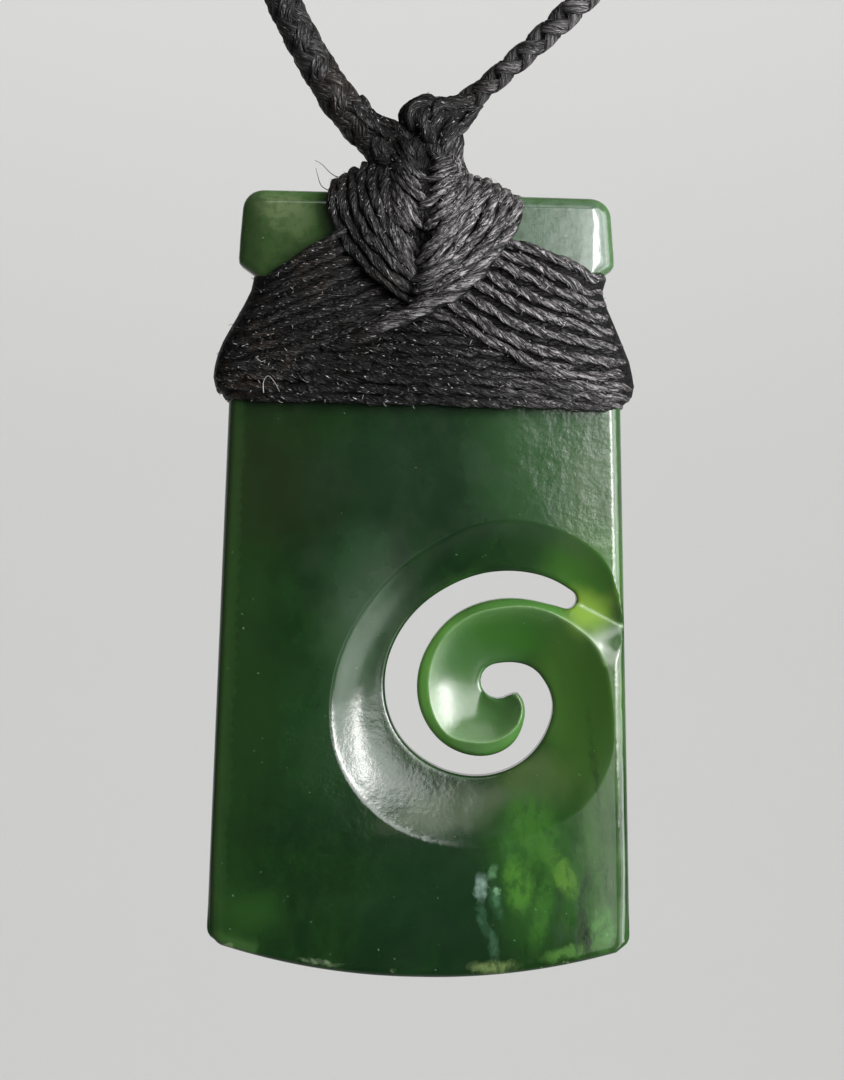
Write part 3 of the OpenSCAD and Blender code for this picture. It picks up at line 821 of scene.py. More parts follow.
class Bundle:
    """Tubes in one mesh, with a lay attribute: mm along, mm round, and 0 in a groove to 1 on a crest."""

    def __init__(self):
        self.verts, self.faces, self.lay, self.count = [], [], [], 0

    def add(self, rings, along, round_mm, caps=True, height=0.6):
        """Rings run counter-clockwise about the way on."""
        count, sides = rings.shape[:2]
        index = self.count + np.arange(count * sides).reshape(count, sides)
        a, b = index[:-1], index[1:]
        self.faces += np.stack([a, np.roll(a, -1, 1), np.roll(b, -1, 1), b], axis=-1).reshape(-1, 4).tolist()
        if caps:
            self.faces += [index[0][::-1].tolist(), index[-1].tolist()]
        lay = np.zeros((count, sides, 3))
        lay[..., 0] = (along if np.ndim(along) == 2 else along[:, None]) + len(self.lay) * PATTERN_SHIFT
        lay[..., 1] = round_mm if np.ndim(round_mm) == 2 else np.linspace(0, round_mm, sides, endpoint=False)
        lay[..., 2] = height
        self.verts.append(rings.reshape(-1, 3))
        self.lay.append(lay.reshape(-1, 3))
        self.count += count * sides

    def make(self, name, material):
        obj = make_mesh(name, np.vstack(self.verts), self.faces, material)
        lay = obj.data.attributes.new("lay", "FLOAT_VECTOR", "POINT")
        lay.data.foreach_set("vector", np.vstack(self.lay).ravel())
        return obj


def directions(n):
    """Directions round a circle, in radians."""
    return 2 * math.pi * np.arange(n) / n


def spokes(side, up, n):
    """Unit vectors in n directions round a line, from its pair of side vectors."""
    a = directions(n)
    return np.cos(a)[None, :, None] * side[:, None] + np.sin(a)[None, :, None] * up[:, None]


def about(line, side, up, across, out):
    """Rings of points about a line, from how far each lies along the line's two side vectors."""
    return line[:, None] + across[..., None] * side[:, None] + out[..., None] * up[:, None]


def twisted(bundle, line, radius=STRAND_R, step=0.27, plies=3, flat=0.92, slim=0.0):
    """A laid cord: its plies show as low lobes that wind round it; slim is what it loses on the right."""
    line = evenly(smooth(line, 0.3), step)
    gone = np.arange(len(line)) * step
    side, up = carried(line)
    start = rng.uniform(0, 2 * math.pi)
    pitch = STRAND_PITCH * rng.uniform(0.88, 1.12)
    wander = 0.07 * np.sin(gone * 0.8 + start) + 0.04 * np.sin(gone * 2.1 + 3 * start)
    line = line + wander[:, None] * up + 0.05 * np.sin(gone * 1.3 + 5 * start)[:, None] * side
    swell = 1 + 0.05 * np.sin(gone * 1.7 + start) + 0.03 * np.sin(gone * 4.3 + 2 * start)
    tip = np.minimum(np.minimum(gone, gone[-1] - gone) / (2 * radius), 1)
    size = radius * swell * (0.75 + 0.25 * np.sqrt(np.clip(tip, 0, 1)))
    size = size * (1 - slim * step_up(-line[:, 0], -2.0, 2.0))
    each = len(PLY_FORM)
    n = each * plies
    crest = np.tile(PLY_FORM, plies) * np.repeat(rng.uniform(0.94, 1.05, plies), each)
    ply = np.repeat(np.arange(plies), each)
    grain = 0.06 * np.sin(gone[:, None] * 4.6 + 2.4 * ply + start) + rng.normal(0, 0.022, (len(line), n))
    angle = start + 2 * math.pi * (np.arange(n)[None] / n + gone[:, None] / pitch)
    reach = size[:, None] * (crest + grain)
    # Heights across the cord that the material paints as shade: lowest on the side facing the stone and in
    # the plies' grooves
    outward = 0.05 + 0.95 * step_up(np.cos(angle), -0.15, 0.6)
    rings = about(line, side, up, reach * np.cos(angle) * flat, reach * np.sin(angle))
    bundle.add(rings, gone, 2 * math.pi * radius, height=outward * np.tile(PLY_HEIGHT, plies))


def plaited(bundle, line, diameter, strands, pitch, thick, wide, lift, swelling, step=0.35, sides=10):
    """A round plait: half the strands wind each way and pass over and under each other, round a core in
    painted shade.
    """
    line = evenly(line, 0.5)
    side, up = carried(line)
    gone = np.concatenate([[0], np.cumsum(np.linalg.norm(np.diff(line, axis=0), axis=1))])
    at = np.arange(0, gone[-1], step)

    def sample(vectors):
        return np.column_stack([np.interp(at, gone, vectors[:, k]) for k in range(3)])

    line, side, up = sample(line), sample(side), sample(up)
    swell = np.interp(at, *np.array(swelling).T)[:, None]
    half = strands // 2
    middle = diameter / 2 - lift - thick
    a = directions(sides)
    squarish = np.sign(np.cos(a)) * np.abs(np.cos(a)) ** 0.8, np.sign(np.sin(a)) * np.abs(np.sin(a)) ** 0.8
    crest = np.clip(1.15 - np.abs(np.cos(a)) ** 4, 0, 1)
    for way in (1, -1):
        for k in range(half):
            turn = way * 2 * math.pi * at / pitch + 2 * math.pi * k / half
            out = middle + way * lift * np.cos(half * turn) + 0.02 * np.sin(at * 0.9 + 2.1 * k + way)
            radial = np.cos(turn)[:, None] * side + np.sin(turn)[:, None] * up
            path = line + swell * out[:, None] * radial
            run = unit(np.gradient(path, axis=0))
            across = unit(np.cross(radial, run))
            fat = 1 + 0.05 * np.sin(at * 1.9 + 3.7 * k) + rng.normal(0, 0.012, len(at))
            fat = fat[:, None] * swell
            rings = (path[:, None] + wide * (fat * squarish[0])[..., None] * across[:, None]
                     + thick * (fat * squarish[1])[..., None] * np.cross(run, across)[:, None])
            # Painted shade: darker where a strand passes under another and towards its edges
            over = (way * np.cos(half * turn) + 1) / 2
            bundle.add(rings, at, 2 * math.pi * wide, height=(0.1 + 0.9 * over[:, None]) * crest[None])
    core = line[:, None] + 0.97 * middle * swell[..., None] * spokes(side, up, sides)
    bundle.add(core[::2], at[::2], 2 * math.pi * middle, height=0.0)


def hoop(line, turns):
    """A closed loop round the stone, at given directions from its axis, a little wider and thinner."""
    line = smooth(line, 0.4)
    way = np.arctan2(WAIST_FLAT * line[:, 1], line[:, 0])
    order = np.argsort(way)
    way, line = way[order], line[order]
    ring = np.column_stack([np.interp(turns, way, line[:, k], period=2 * math.pi) for k in range(3)])
    return ring * HOOP_SCALE


def cord_material(name, tint, gloss, hair, crack_shade, fine):
    """Black waxed fibre: lens-shaped flakes, painted shade in cracks, crests painted lighter where lit,
    painted glints.
    """
    shade = Shade(name)
    lay = shade.attribute("lay")
    crest = lay.split()[2]
    place = shade.place()
    x, y, z = place.split()
    shift = shade.noise(lay, 1.0, 2, 0.5, stretch=(0.8, 1.6, 0.0))
    flake = shade.noise(lay, 1.0, 2, 0.5, 0.6, stretch=(0.85, 2.7, 0.0))
    fibre = shade.noise(lay, 1.0, 4, 0.7, stretch=(1.1 * fine, 7.0 * fine, 0.0))
    rim = abs(flake - 0.5)
    body = rim.ramp(0.0, 0.055, crack_shade, 1.0)

    # Painted light on the lit side of the lashing and the wrap: the right, and the band that crosses over the
    # left fan
    reach = x - shade.larger(abs(z + 2.0) * 0.45, z * 0.95)
    reach = reach + y.ramp(-5.0, -4.6, 4.5, 0.0) * z.ramp(-8.2, -7.4, 1.0, 0.0)
    reach = reach - z.ramp(1.5, 3.5, 0.0, 2.2) * x.ramp(3.5, 5.0, 1.0, 0.0)
    lit = (reach + shift * 4.0).ramp(-4.0, 4.0)
    dark_fibre = shade.mix(fibre.ramp(0.42, 0.68), tint, tuple(3.6 * part for part in tint))
    painted_lit_fibre = shade.mix(fibre.ramp(0.36, 0.64), (38, 35, 37), (300, 280, 290))
    # Painted light: paler fibre on the crests of the lit side
    light = lit * shift.ramp(0.35, 0.62, 0.35, 1.0) * crest.ramp(0.15, 0.8)
    colour = shade.mix(light, dark_fibre, painted_lit_fibre)
    brown = shade.noise(place, 0.30, 3, 0.5).ramp(0.42, 0.66) * x.ramp(-13.0, 0.0, 0.9, 0.3)
    colour = shade.mix(brown, colour, (16, 10.5, 6.5))

    # Painted shade between strands and flakes, in the grooves, and in the triangle of rows below the fans
    valley = (abs(x) + (z + 8.3) * 1.96).ramp(-1.5, 0.5)
    above = shade.larger(valley, y.ramp(-4.9, -4.6, 1.0, 0.0))
    above = shade.larger(above, x.ramp(0.0, 13.0, 0.0, 0.45))
    dark = body * crest.ramp(0.0, 0.55, 0.12, 1.0)
    dark = dark * above.ramp(0.0, 1.0, 0.22, 1.0)
    colour = shade.mix(dark, (0.8, 0.8, 0.8), colour)
    # Painted glints: short bright dashes on the crests
    dashes = shade.noise(lay, 1.0, 2, 0.5, stretch=(2.2, 8.0, 0.0), turn=(0, 0, 0.12))
    dashes = dashes.ramp(0.645, 0.69) * crest.ramp(0.3, 0.8, 0.0, 1.5 * hair)
    colour = shade.mix(dashes, colour, (360, 350, 355))

    wax = shade.noise(place, 0.9, 4, 0.6).ramp(0.40, 0.62)
    coat = dark * body * wax.ramp(0.0, 1.0, 1.0, 0.4) * lit.ramp(0.0, 1.0, 0.20, 1.0)
    normal = shade.bump(rim.ramp(0.0, 0.16), 0.9, 0.00015)
    normal = shade.bump(fibre, hair, 0.00011, normal)
    shade.set(Base_Color=colour, Roughness=fibre.ramp(0.35, 0.7, gloss + 0.22, gloss + 0.05), Normal=normal,
              Specular_IOR_Level=0.2, Coat_Weight=coat, Coat_Roughness=0.22, Coat_IOR=1.6, Coat_Normal=normal)
    return shade.material


# Outer edge of the lashing at each side: height, half width of the strands' middles
LEFT_SIDE = np.array([
    [-15.3, 14.1], [-14.7, 14.95], [-14.0, 15.27], [-13.2, 15.2], [-12.5, 15.1], [-11.7, 14.85],
    [-11.0, 14.56], [-10.2, 14.13], [-9.5, 13.76], [-8.8, 13.33], [-7.9, 12.9], [-7.3, 12.6], [-6.3, 12.4]])
RIGHT_SIDE = np.array([
    [-15.5, 14.27], [-15.1, 14.86], [-14.3, 15.07], [-13.6, 15.03], [-12.8, 14.83], [-12.1, 14.68],
    [-11.4, 14.37], [-10.6, 14.07], [-9.9, 13.76], [-9.2, 13.46], [-8.4, 13.15], [-7.5, 12.69],
    [-6.9, 12.69], [-6.3, 12.83], [-5.8, 13.1]])
# Half width of the rows' front, by the height of their ends
ROW_ENDS = np.array([(-15.6, 14.3), (-14, 15.1)])
# How far inside the sides the strands in front end, where the turn round the side takes over
SIDE_GAP = 0.9
# How far in front of the blade's middle the lashing lies at its sides, and what is added low down and in the
# middle
SIDE_REACH, LOW_REACH, MIDDLE_REACH = 3.0, 0.2, 0.75
# The lashing behind the stone, how tightly it turns at the stone's sides, and how much wider it is than thick
LASHING_BACK, TURN, WAIST_FLAT = 3.45, 1.7, 4
# How far the rows, the deep rows and the fans' inner ends lie in the bundle, what the fans lose in thickness
# on the right, and how far above its start a row's cord ends
ROW_SINK, DEEP_SINK, FAN_SINK, FAN_SLIM, END_RISE = 0.05, 0.32, 0.5, 0.14, 0.06
# The lashing's core: points round it, its half width and thickness, its length round, and its size beside the
# loops of the strands
HOOP_POINTS, HOOP_HALF, HOOP_ROUND, HOOP_SCALE = 150, (14.5, 3.4), 90, (1.028, 0.985, 1)
# Strands of the lashing, as pixels of the photograph: fans from the stone's side to the wrap, rows from left
# to right, and rows that lie deeper and go under the fans
FAN_LEFT = [
    [(256, 277), (297, 261), (328, 240), (352, 224)], [(250, 289), (297, 271), (335, 254), (362, 240)],
    [(242, 302), (294, 283), (332, 266), (366, 251)], [(235, 315), (288, 299), (332, 282), (374, 264)],
    [(229, 328), (294, 309), (337, 294), (384, 276)], [(225, 341), (294, 322), (345, 304), (394, 285)],
    [(221, 354), (294, 337), (345, 320), (404, 296)], [(218, 366), (294, 351), (349, 333), (414, 306)]]
FAN_RIGHT = [
    [(608, 278), (575, 267), (540, 252), (496, 240)], [(606, 292), (568, 281), (527, 263), (488, 249)],
    [(610, 305), (566, 294), (523, 275), (478, 256)], [(615, 319), (566, 309), (516, 290), (466, 263)],
    [(620, 332), (566, 323), (514, 304), (456, 273)], [(624, 346), (566, 339), (509, 320), (446, 285)],
    [(629, 361), (560, 356), (503, 335), (436, 296)],
    [(631, 375), (585, 377), (540, 366), (489, 342), (428, 306)]]
ROWS = [
    [(214, 376), (300, 377), (420, 381), (520, 384), (600, 389), (632, 387)],
    [(216, 386), (300, 388), (420, 391), (520, 394), (600, 398), (630, 397)],
    [(220, 394), (300, 397), (420, 401), (520, 404), (600, 406), (626, 405)]]
SUNK_ROWS = [
    [(236, 367), (300, 367), (360, 369), (420, 372), (520, 375), (600, 380)],
    [(262, 357), (330, 357), (420, 361), (530, 365), (580, 368)],
    [(300, 348), (360, 347), (420, 350), (500, 353), (545, 356)],
    [(330, 337), (380, 337), (420, 339), (500, 343)],
    [(360, 327), (392, 326), (420, 327), (470, 330)],
    [(380, 317), (420, 317), (450, 318)]]


def fan_face(x, z):
    """How far in front of the blade's middle the fans' strands lie."""
    rounded = 1 - np.clip(np.abs(x) / 15, 0, 1) ** 2.3
    return -(SIDE_REACH + LOW_REACH * step_up(-z, 6.0, 9.0) + MIDDLE_REACH * rounded)


def around(left, right):
    """The way round the sides and the back, from the height of a front path's left end to its right end's."""
    wl, wr = np.interp(left, *LEFT_SIDE.T), np.interp(right, *RIGHT_SIDE.T)
    front, back, turn = fan_face(14, min(left, right)), LASHING_BACK, TURN
    down = np.linspace(left, right, 9)
    return np.array([
        [-wl + 0.5 * turn, front + 0.25 * turn, left], [-wl, front + turn, down[0]], [-wl, 0, down[0]],
        [-wl, back - turn, down[1]], [-wl + 0.3 * turn, back - 0.3 * turn, down[1]],
        [-wl + turn, back, down[1]], [-6, back, down[3]], [0, back, down[4]], [6, back, down[5]],
        [wr - turn, back, down[7]], [wr - 0.3 * turn, back - 0.3 * turn, down[7]],
        [wr, back - turn, down[7]], [wr, 0, down[8]], [wr, front + turn, down[8]],
        [wr - 0.5 * turn, front + 0.25 * turn, right]])


def on_front(points, sunk=0.0):
    """A strand of the lashing where the photograph shows it, sunk some mm into the bundle."""
    plan = seen(points)
    return np.column_stack([plan[:, 0], fan_face(*plan.T) + sunk, plan[:, 1]])


def fan_strand(points, side):
    """A fan's strand from near the stone's side to where it sinks in under the wrap."""
    line = on_front(points)
    line = line[np.abs(line[:, 0]) < np.interp(line[:, 2], *side.T) - SIDE_GAP]
    line[-1, 1] += FAN_SINK
    return line


def row_loop(row):
    """A row's whole loop, from the middle of the back round to the same place."""
    front = on_front(row, ROW_SINK)
    ends = front[[0, -1], 2]
    wl, wr = np.interp(ends, *ROW_ENDS.T) - SIDE_GAP
    inner = front[(front[:, 0] > -wl) & (front[:, 0] < wr)]
    loop = np.vstack([inner, around(*ends)[::-1], inner[:1]])
    back = np.argmin(np.abs(loop[:, 0]) + 10 * (loop[:, 1] < 0))
    return np.vstack([loop[back:], loop[1:back + 1] + [0, 0, END_RISE]])


def make_lashing(material):
    """The rows and fans wound round the waist, and the cord that shows deep between them, in painted shade.
    """
    bundle, hoops = Bundle(), []
    turns = np.linspace(0, 2 * math.pi, HOOP_POINTS, endpoint=False)
    half_width, half_thickness = HOOP_HALF
    turns = np.arctan2(WAIST_FLAT * half_thickness * np.sin(turns), half_width * np.cos(turns))
    turns = turns % (2 * math.pi)
    for left, right in zip(FAN_LEFT, FAN_RIGHT):
        back = around(*seen([left[0], right[0]])[:, 1])
        loop = np.vstack([fan_strand(left, LEFT_SIDE)[::-1], back, fan_strand(right, RIGHT_SIDE)])
        twisted(bundle, loop, radius=FAN_R, slim=FAN_SLIM)
        hoops.append(hoop(loop, turns))
    for row in ROWS:
        loop = row_loop(row)
        twisted(bundle, loop, radius=ROW_R)
        hoops.append(hoop(loop, turns))
    for row in SUNK_ROWS:
        twisted(bundle, on_front(row, DEEP_SINK), radius=FAN_R)
    lashing = bundle.make("waist_strands", material)
    core = Bundle()
    hoops = np.array(hoops[::-1])
    core.add(hoops, np.linspace(0, HOOP_ROUND, HOOP_POINTS)[None], hoops[..., 2], caps=False, height=0.0)
    return lashing, core.make("waist_core", material)


# Strands of the wrap over the head, as pixels of the photograph, outermost first, each from the throat to
# where it tucks under. The band is the last turn, which crosses over the left fan; the braid is in the middle
WRAP_LEFT = [
    [(338, 179), (332, 192), (334, 210), (345, 236), (366, 262), (389, 283), (411, 299)],
    [(347, 173), (342, 188), (344, 208), (356, 233), (377, 258), (398, 279), (419, 294)],
    [(356, 167), (352, 183), (355, 205), (367, 230), (387, 253), (407, 272), (425, 289)],
    [(366, 161), (362, 178), (365, 200), (376, 225), (393, 247), (410, 264), (422, 277)],
    [(376, 160), (372, 176), (375, 197), (385, 219), (396, 237), (408, 253), (419, 268)],
    [(386, 162), (383, 176), (385, 193), (391, 210), (398, 228), (410, 244), (420, 257)]]
WRAP_BAND = [
    [(514, 196), (515, 207), (508, 227), (494, 250), (473, 274), (448, 293), (420, 308), (393, 320),
     (370, 330), (347, 339), (322, 347)]]
WRAP_RIGHT = [
    [(506, 189), (506, 201), (497, 224), (482, 247), (461, 269), (437, 288), (411, 303)],
    [(497, 183), (496, 196), (486, 218), (471, 240), (452, 262), (430, 281), (413, 290)],
    [(487, 178), (485, 191), (475, 212), (462, 234), (446, 255), (429, 272), (412, 281)],
    [(477, 176), (475, 188), (466, 207), (454, 228), (442, 246), (431, 261), (420, 271)],
    [(467, 172), (462, 186), (455, 202), (447, 219), (439, 235), (429, 250), (418, 263)]]
BRAID_LEFT = [
    [(396, 133), (404, 141), (410, 148), (415, 155)], [(394, 141), (403, 149), (411, 157), (418, 166)],
    [(391, 149), (401, 158), (413, 168), (427, 178)], [(388, 157), (399, 167), (410, 178), (419, 188)],
    [(387, 165), (398, 176), (413, 190), (429, 202)], [(387, 174), (397, 186), (408, 199), (416, 210)],
    [(387, 183), (396, 196), (409, 211), (423, 223)], [(387, 193), (394, 204), (404, 216), (414, 226)],
    [(388, 203), (395, 213), (402, 221), (409, 229)]]
BRAID_RIGHT = [
    [(453, 151), (446, 158), (438, 164), (430, 169)], [(456, 157), (448, 166), (434, 175), (416, 182)],
    [(458, 164), (450, 174), (441, 183), (431, 190)], [(460, 170), (452, 181), (436, 195), (417, 205)],
    [(462, 177), (453, 190), (443, 203), (430, 214)], [(464, 184), (455, 198), (440, 213), (424, 226)],
    [(466, 191), (458, 206), (447, 221), (433, 233)], [(468, 200), (460, 215), (450, 229), (438, 242)]]
# Outer form of the wrap: height, middle, half width, reach
WRAP_FORM = np.array([
    [-11.0, -2.0, 4.0, 4.9], [-9.6, -1.0, 5.2, 5.0], [-8.0, -0.5, 5.6, 5.3], [-6.0, -0.4, 5.8, 5.6],
    [-4.1, -0.3, 6.4, 5.5], [-2.0, -0.3, 7.0, 5.1], [-0.6, -0.4, 7.2, 4.7], [0.3, -0.5, 7.2, 4.3],
    [0.9, -0.7, 6.6, 4.0], [1.6, -1.0, 5.4, 3.6], [2.4, -0.9, 4.4, 3.2], [3.3, -0.9, 3.9, 3.0],
    [4.3, -0.7, 3.6, 2.9], [5.2, -0.3, 3.2, 2.9], [6.2, -0.3, 2.8, 2.7]])
# How far in front the wrap's sides lie: height, distance
WRAP_SIDES = np.array([(-9, 4.25), (-6.5, 3.9), (-5, 2.9), (0, 2.65), (1, 1.4), (3, 0.6)])
WRAP_ROUNDING = 2.1


def wrap_face(x, z):
    """How far in front of the blade's middle the wrap's strands lie."""
    middle, half, reach = (np.interp(z, WRAP_FORM[:, 0], WRAP_FORM[:, k]) for k in (1, 2, 3))
    base = np.interp(z, *WRAP_SIDES.T)
    u = np.clip(np.abs((x - middle) / half), 0, 1)
    return -(base + np.maximum(reach - STRAND_R - base, 0) * (1 - u ** WRAP_ROUNDING))


# Contour of the heart, downwards: height, left and right in pixels
HEART = np.array([
    (172, 356, 474), (178, 345, 490), (185, 334, 508), (195, 330, 514), (205, 330, 515), (215, 331, 513),
    (225, 335, 508), (235, 341, 502), (245, 348, 496), (255, 357, 488), (265, 366, 480), (275, 376, 470),
    (285, 388, 460), (295, 402, 450), (300, 410, 443)])
# The wrap's core: how far inside that contour, points across it, how far under the strands
CORE_INSET_PX, CORE_POINTS, CORE_SINK = 8, 27, 0.40
# The core's hollow under the braid: depth, middle x and z, half width and height
BRAID_HOLLOW = (1.1, -0.5, -3.4, 0.9, 1.1)


def wrap_core():
    """Rings of the cord deep in the wrap, just under its strands, upwards, which is painted in shade."""
    rings = []
    deep, x0, z0, wide, high = BRAID_HOLLOW
    for height, left, right in HEART[::-1]:
        (xl, z), (xr, _) = seen([(left + CORE_INSET_PX, height), (right - CORE_INSET_PX, height)])
        x = (xl + xr) / 2 + (xr - xl) / 2 * np.sin(np.linspace(-1, 1, CORE_POINTS) * math.pi / 2)
        level = np.full(len(x), z)
        hollow = deep * np.exp(-((x - x0) / wide) ** 2 - ((level - z0) / high) ** 2)
        y = wrap_face(x, level) + CORE_SINK + hollow
        rings.append(np.vstack([np.column_stack([x, y, level]), np.column_stack([x, -y, level])[::-1]]))
    return np.array(rings)


# How far out the wrap's strands start at the throat, as shares, and how far the ends of the left strands, the
# right ones, the braid and the band sink in
START = (0.2, 0.92)
LEFT_SINK, RIGHT_SINK, BRAID_SINK = (0.4, 1.5), (0.1, 0.75), (0.7, 0.0, -0.1, 0.75)
BAND_SINK = (-0.2, -0.45, -0.35, -0.15, 0.05, 0.2)
# How flat the wrap's cord lies
WRAP_FLAT = 0.8
# The strands over the head's top: where they lie, the outer height and how far below and inside it they lie
ARCHES = np.concatenate([np.arange(-6.9, -2.6, 0.55), np.arange(2.6, 6.6, 0.7)])
ARCH_TOP = np.array([
    (-7.2, 0.1), (-6, 0.9), (-4, 2.0), (-2.6, 3.3), (2.3, 2.3), (3.6, 1.6), (5.2, 1.2), (6.6, 0.4)])
ARCH_SINK, ARCH_INSET = 0.35, 0.25


def lay_strands(bundle, back, lines, over, sink, radius=STRAND_R, start=(1, 1), band=0.0):
    """Strands of the wrap on its front, or mirrored on its back, some mm off its face."""
    for line in lines:
        plan = seen(line)
        front = wrap_face(*plan.T) + over
        front[:2] *= start
        front[-len(sink):] += sink
        front[-len(BAND_SINK):] += band
        twisted(bundle, as_seen(plan, front) * [1, back, 1], radius=radius, flat=WRAP_FLAT)


def arch(x):
    """The way of one strand over the head's top, from front to back."""
    top = np.interp(x, *ARCH_TOP.T) - ARCH_SINK
    reach = -wrap_face(np.array([x]), np.array([-1.2]))[0] - ARCH_INSET
    behind = np.array([(x, reach, -1.4), (x, 0.85 * reach, -0.35), (0.95 * x, 0.45 * reach, top - 0.25)])
    return np.vstack([behind * [1, -1, 1], [(0.93 * x, 0, top)], behind[::-1]])


def make_wrap(material):
    """The wrap's strands in front and behind, those over the head's top, and the core between, in painted
    shade.
    """
    bundle = Bundle()
    for back in (1, -1):
        lay_strands(bundle, back, WRAP_LEFT, 0.05, LEFT_SINK, start=START)
        lay_strands(bundle, back, WRAP_BAND, -0.2, RIGHT_SINK, BAND_R, START, BAND_SINK)
        lay_strands(bundle, back, WRAP_RIGHT, -0.2, RIGHT_SINK, start=START)
        lay_strands(bundle, back, BRAID_LEFT, -0.1, BRAID_SINK, BRAID_R)
        lay_strands(bundle, back, BRAID_RIGHT, -0.15, BRAID_SINK, BRAID_R)
    for x in ARCHES:
        twisted(bundle, arch(x), radius=ARCH_R)
    core = wrap_core()
    bundle.add(core, core[:, 0, 2], round_mm=30.0, height=0.0)
    return bundle.make("head_wrap_strands", material)


# Routes of the neck cords from the knot to the nape, in the whole part's frame, and their starts in the knot
LEFT_ROUTE = [
    [-4.1, -96, -120.7], [-7.2, -96, -117.1], [-10.9, -96, -110.6], [-15, -95.5, -101], [-21, -94.5, -90],
    [-29, -91, -76], [-38, -84.5, -61.5], [-47, -75, -47], [-54, -62, -33.5], [-57.5, -47, -22],
    [-56, -31, -13], [-48.5, -17.5, -7], [-37, -8, -3], [-23, -1.8, -0.6], [-13, -0.1, 0], [-5, 0, 0]]
RIGHT_ROUTE = [
    [2.9, -96, -117.8], [4.7, -96, -116.4], [10.8, -96, -110.8], [17.5, -95.5, -103], [25, -93.5, -91.5],
    [33, -89.5, -77], [41.5, -82.5, -62], [49.5, -73, -47.5], [55.5, -61, -34], [57.5, -47, -22],
    [56, -31, -13], [48.5, -17.5, -7], [37, -8, -3], [23, -1.8, -0.6], [13, -0.1, 0], [5, 0, 0]]
LEFT_ENTRY = [[-1.6, -97.2, -123.4], [-2.9, -96.8, -122.0]]
RIGHT_ENTRY = [[0.6, -96, -119.4]]
# The plaits: diameter, strands and their pitch, half a strand's thickness and width, how far it rises and
# falls as it goes over and under, and how the cord swells by its distance from the knot
LEFT_PLAIT = dict(diameter=2.7, strands=8, pitch=10.4, thick=0.34, wide=0.68, lift=0.12,
                  swelling=((0, 0.95), (2, 1.05), (5, 1.13), (9, 1.08), (14, 1.0)))
RIGHT_PLAIT = dict(diameter=1.9, strands=4, pitch=4.5, thick=0.32, wide=0.62, lift=0.10,
                   swelling=((0, 0.9), (3, 0.95), (8, 0.97), (13, 1.1), (18, 1.0)))


def make_neck_cord(name, route, plait, material):
    bundle = Bundle()
    plaited(bundle, smooth(np.array(route) - BLADE, 0.5), **plait)
    return bundle.make(name, material)


# Form of the knot and the throat, upwards: height in pixels, left and right contour in pixels, half depth
KNOT_FORM = [
    (200, 346, 500, 2.2), (190, 350, 490, 2.7), (180, 356, 466, 2.7), (170, 362, 457, 2.5),
    (160, 368, 454, 2.3), (150, 377, 452, 2.1), (140, 386, 453, 1.9), (130, 393, 457, 1.8),
    (120, 398, 463, 1.7), (110, 401, 467, 1.5), (104, 403, 468, 1.3), (99, 407, 462, 0.9),
    (96, 412, 440, 0.6)]
# Strands of the knot: points in pixels, how far in front, radius
KNOT_STRANDS = [
    ([(434, 100), (423, 101), (414, 107), (412, 116), (418, 124)], (-0.7, -1.1, -1.5, -1.8, -1.4), 0.72),
    ([(424, 100), (413, 103), (407, 110), (405, 121), (404, 132)], (-0.1, -0.3, -0.7, -0.8, -0.9), 0.50),
    ([(472, 94), (456, 98), (441, 98), (428, 98)], (-0.1, -0.3, -0.3, -0.3), 0.46),
    ([(476, 93), (462, 98), (448, 101), (438, 104), (436, 114), (433, 124), (424, 134), (418, 141)],
     (-0.1, -0.7, -1.2, -1.6, -2.0, -2.0, -1.6, -1.0), 0.56),
    ([(478, 98), (462, 107), (450, 110), (443, 118)], (-0.2, -0.5, -0.6, -0.4), 0.42),
    ([(480, 101), (471, 112), (464, 121), (456, 131), (452, 142), (452, 153), (456, 164), (463, 174)],
     (0.0, -0.4, -0.8, -1.2, -1.4, -1.5, -1.7, -1.9), 0.40),
    ([(453, 116), (449, 129), (446, 142), (446, 155), (449, 166)], (-1.2, -1.5, -1.6, -1.8, -1.9), 0.62),
    ([(459, 127), (457, 139), (457, 151), (460, 163), (466, 173)], (-0.4, -0.6, -0.8, -1.2, -1.4), 0.46),
    ([(430, 138), (436, 147), (438, 158), (436, 169)], (-1.5, -1.8, -1.9, -2.0), 0.50),
    ([(414, 113), (423, 111), (432, 114), (436, 122)], (-1.5, -1.8, -1.7, -1.3), 0.55),
    ([(358, 94), (368, 108), (382, 119), (395, 122), (406, 131), (411, 142)],
     (-0.3, -0.5, -0.7, -1.0, -1.4, -1.5), 0.48),
    ([(352, 100), (366, 116), (382, 128), (394, 134), (404, 141)], (-1.0, -1.2, -1.4, -1.6, -1.7), 0.45),
    ([(428, 149), (437, 155), (446, 161), (454, 167)], (-1.9, -2.2, -2.3, -2.2), 0.33),
    ([(418, 105), (421, 113), (424, 122), (427, 131), (430, 139)], (-1.3, -2.0, -2.2, -2.1, -1.7), 0.60)]


def knot_core():
    """Rings of the cord deep in the knot and the throat, upwards, which is painted in shade."""
    rings = []
    angle = directions(36)
    across = (1 - np.cos(angle)) / 2
    for height, left, right, depth in KNOT_FORM:
        (xl, zl), (xr, zr) = seen([(left, height), (right, height)])
        x, z = xr + (xl - xr) * across, zr + (zl - zr) * across
        rings.append(np.column_stack([x, depth * np.sin(angle), z]))
    return np.array(rings)


def make_knot(material):
    """The knot's strands, in front and mirrored behind, and the core between them, in painted shade."""
    bundle = Bundle()
    for points, front, radius in KNOT_STRANDS:
        for side in (1, -1):
            twisted(bundle, as_seen(seen(points), front) * [1, side, 1], radius=radius)
    core = knot_core()
    bundle.add(core, core[:, 0, 2], round_mm=20.0, height=0.0)
    return bundle.make("knot_strands", material)


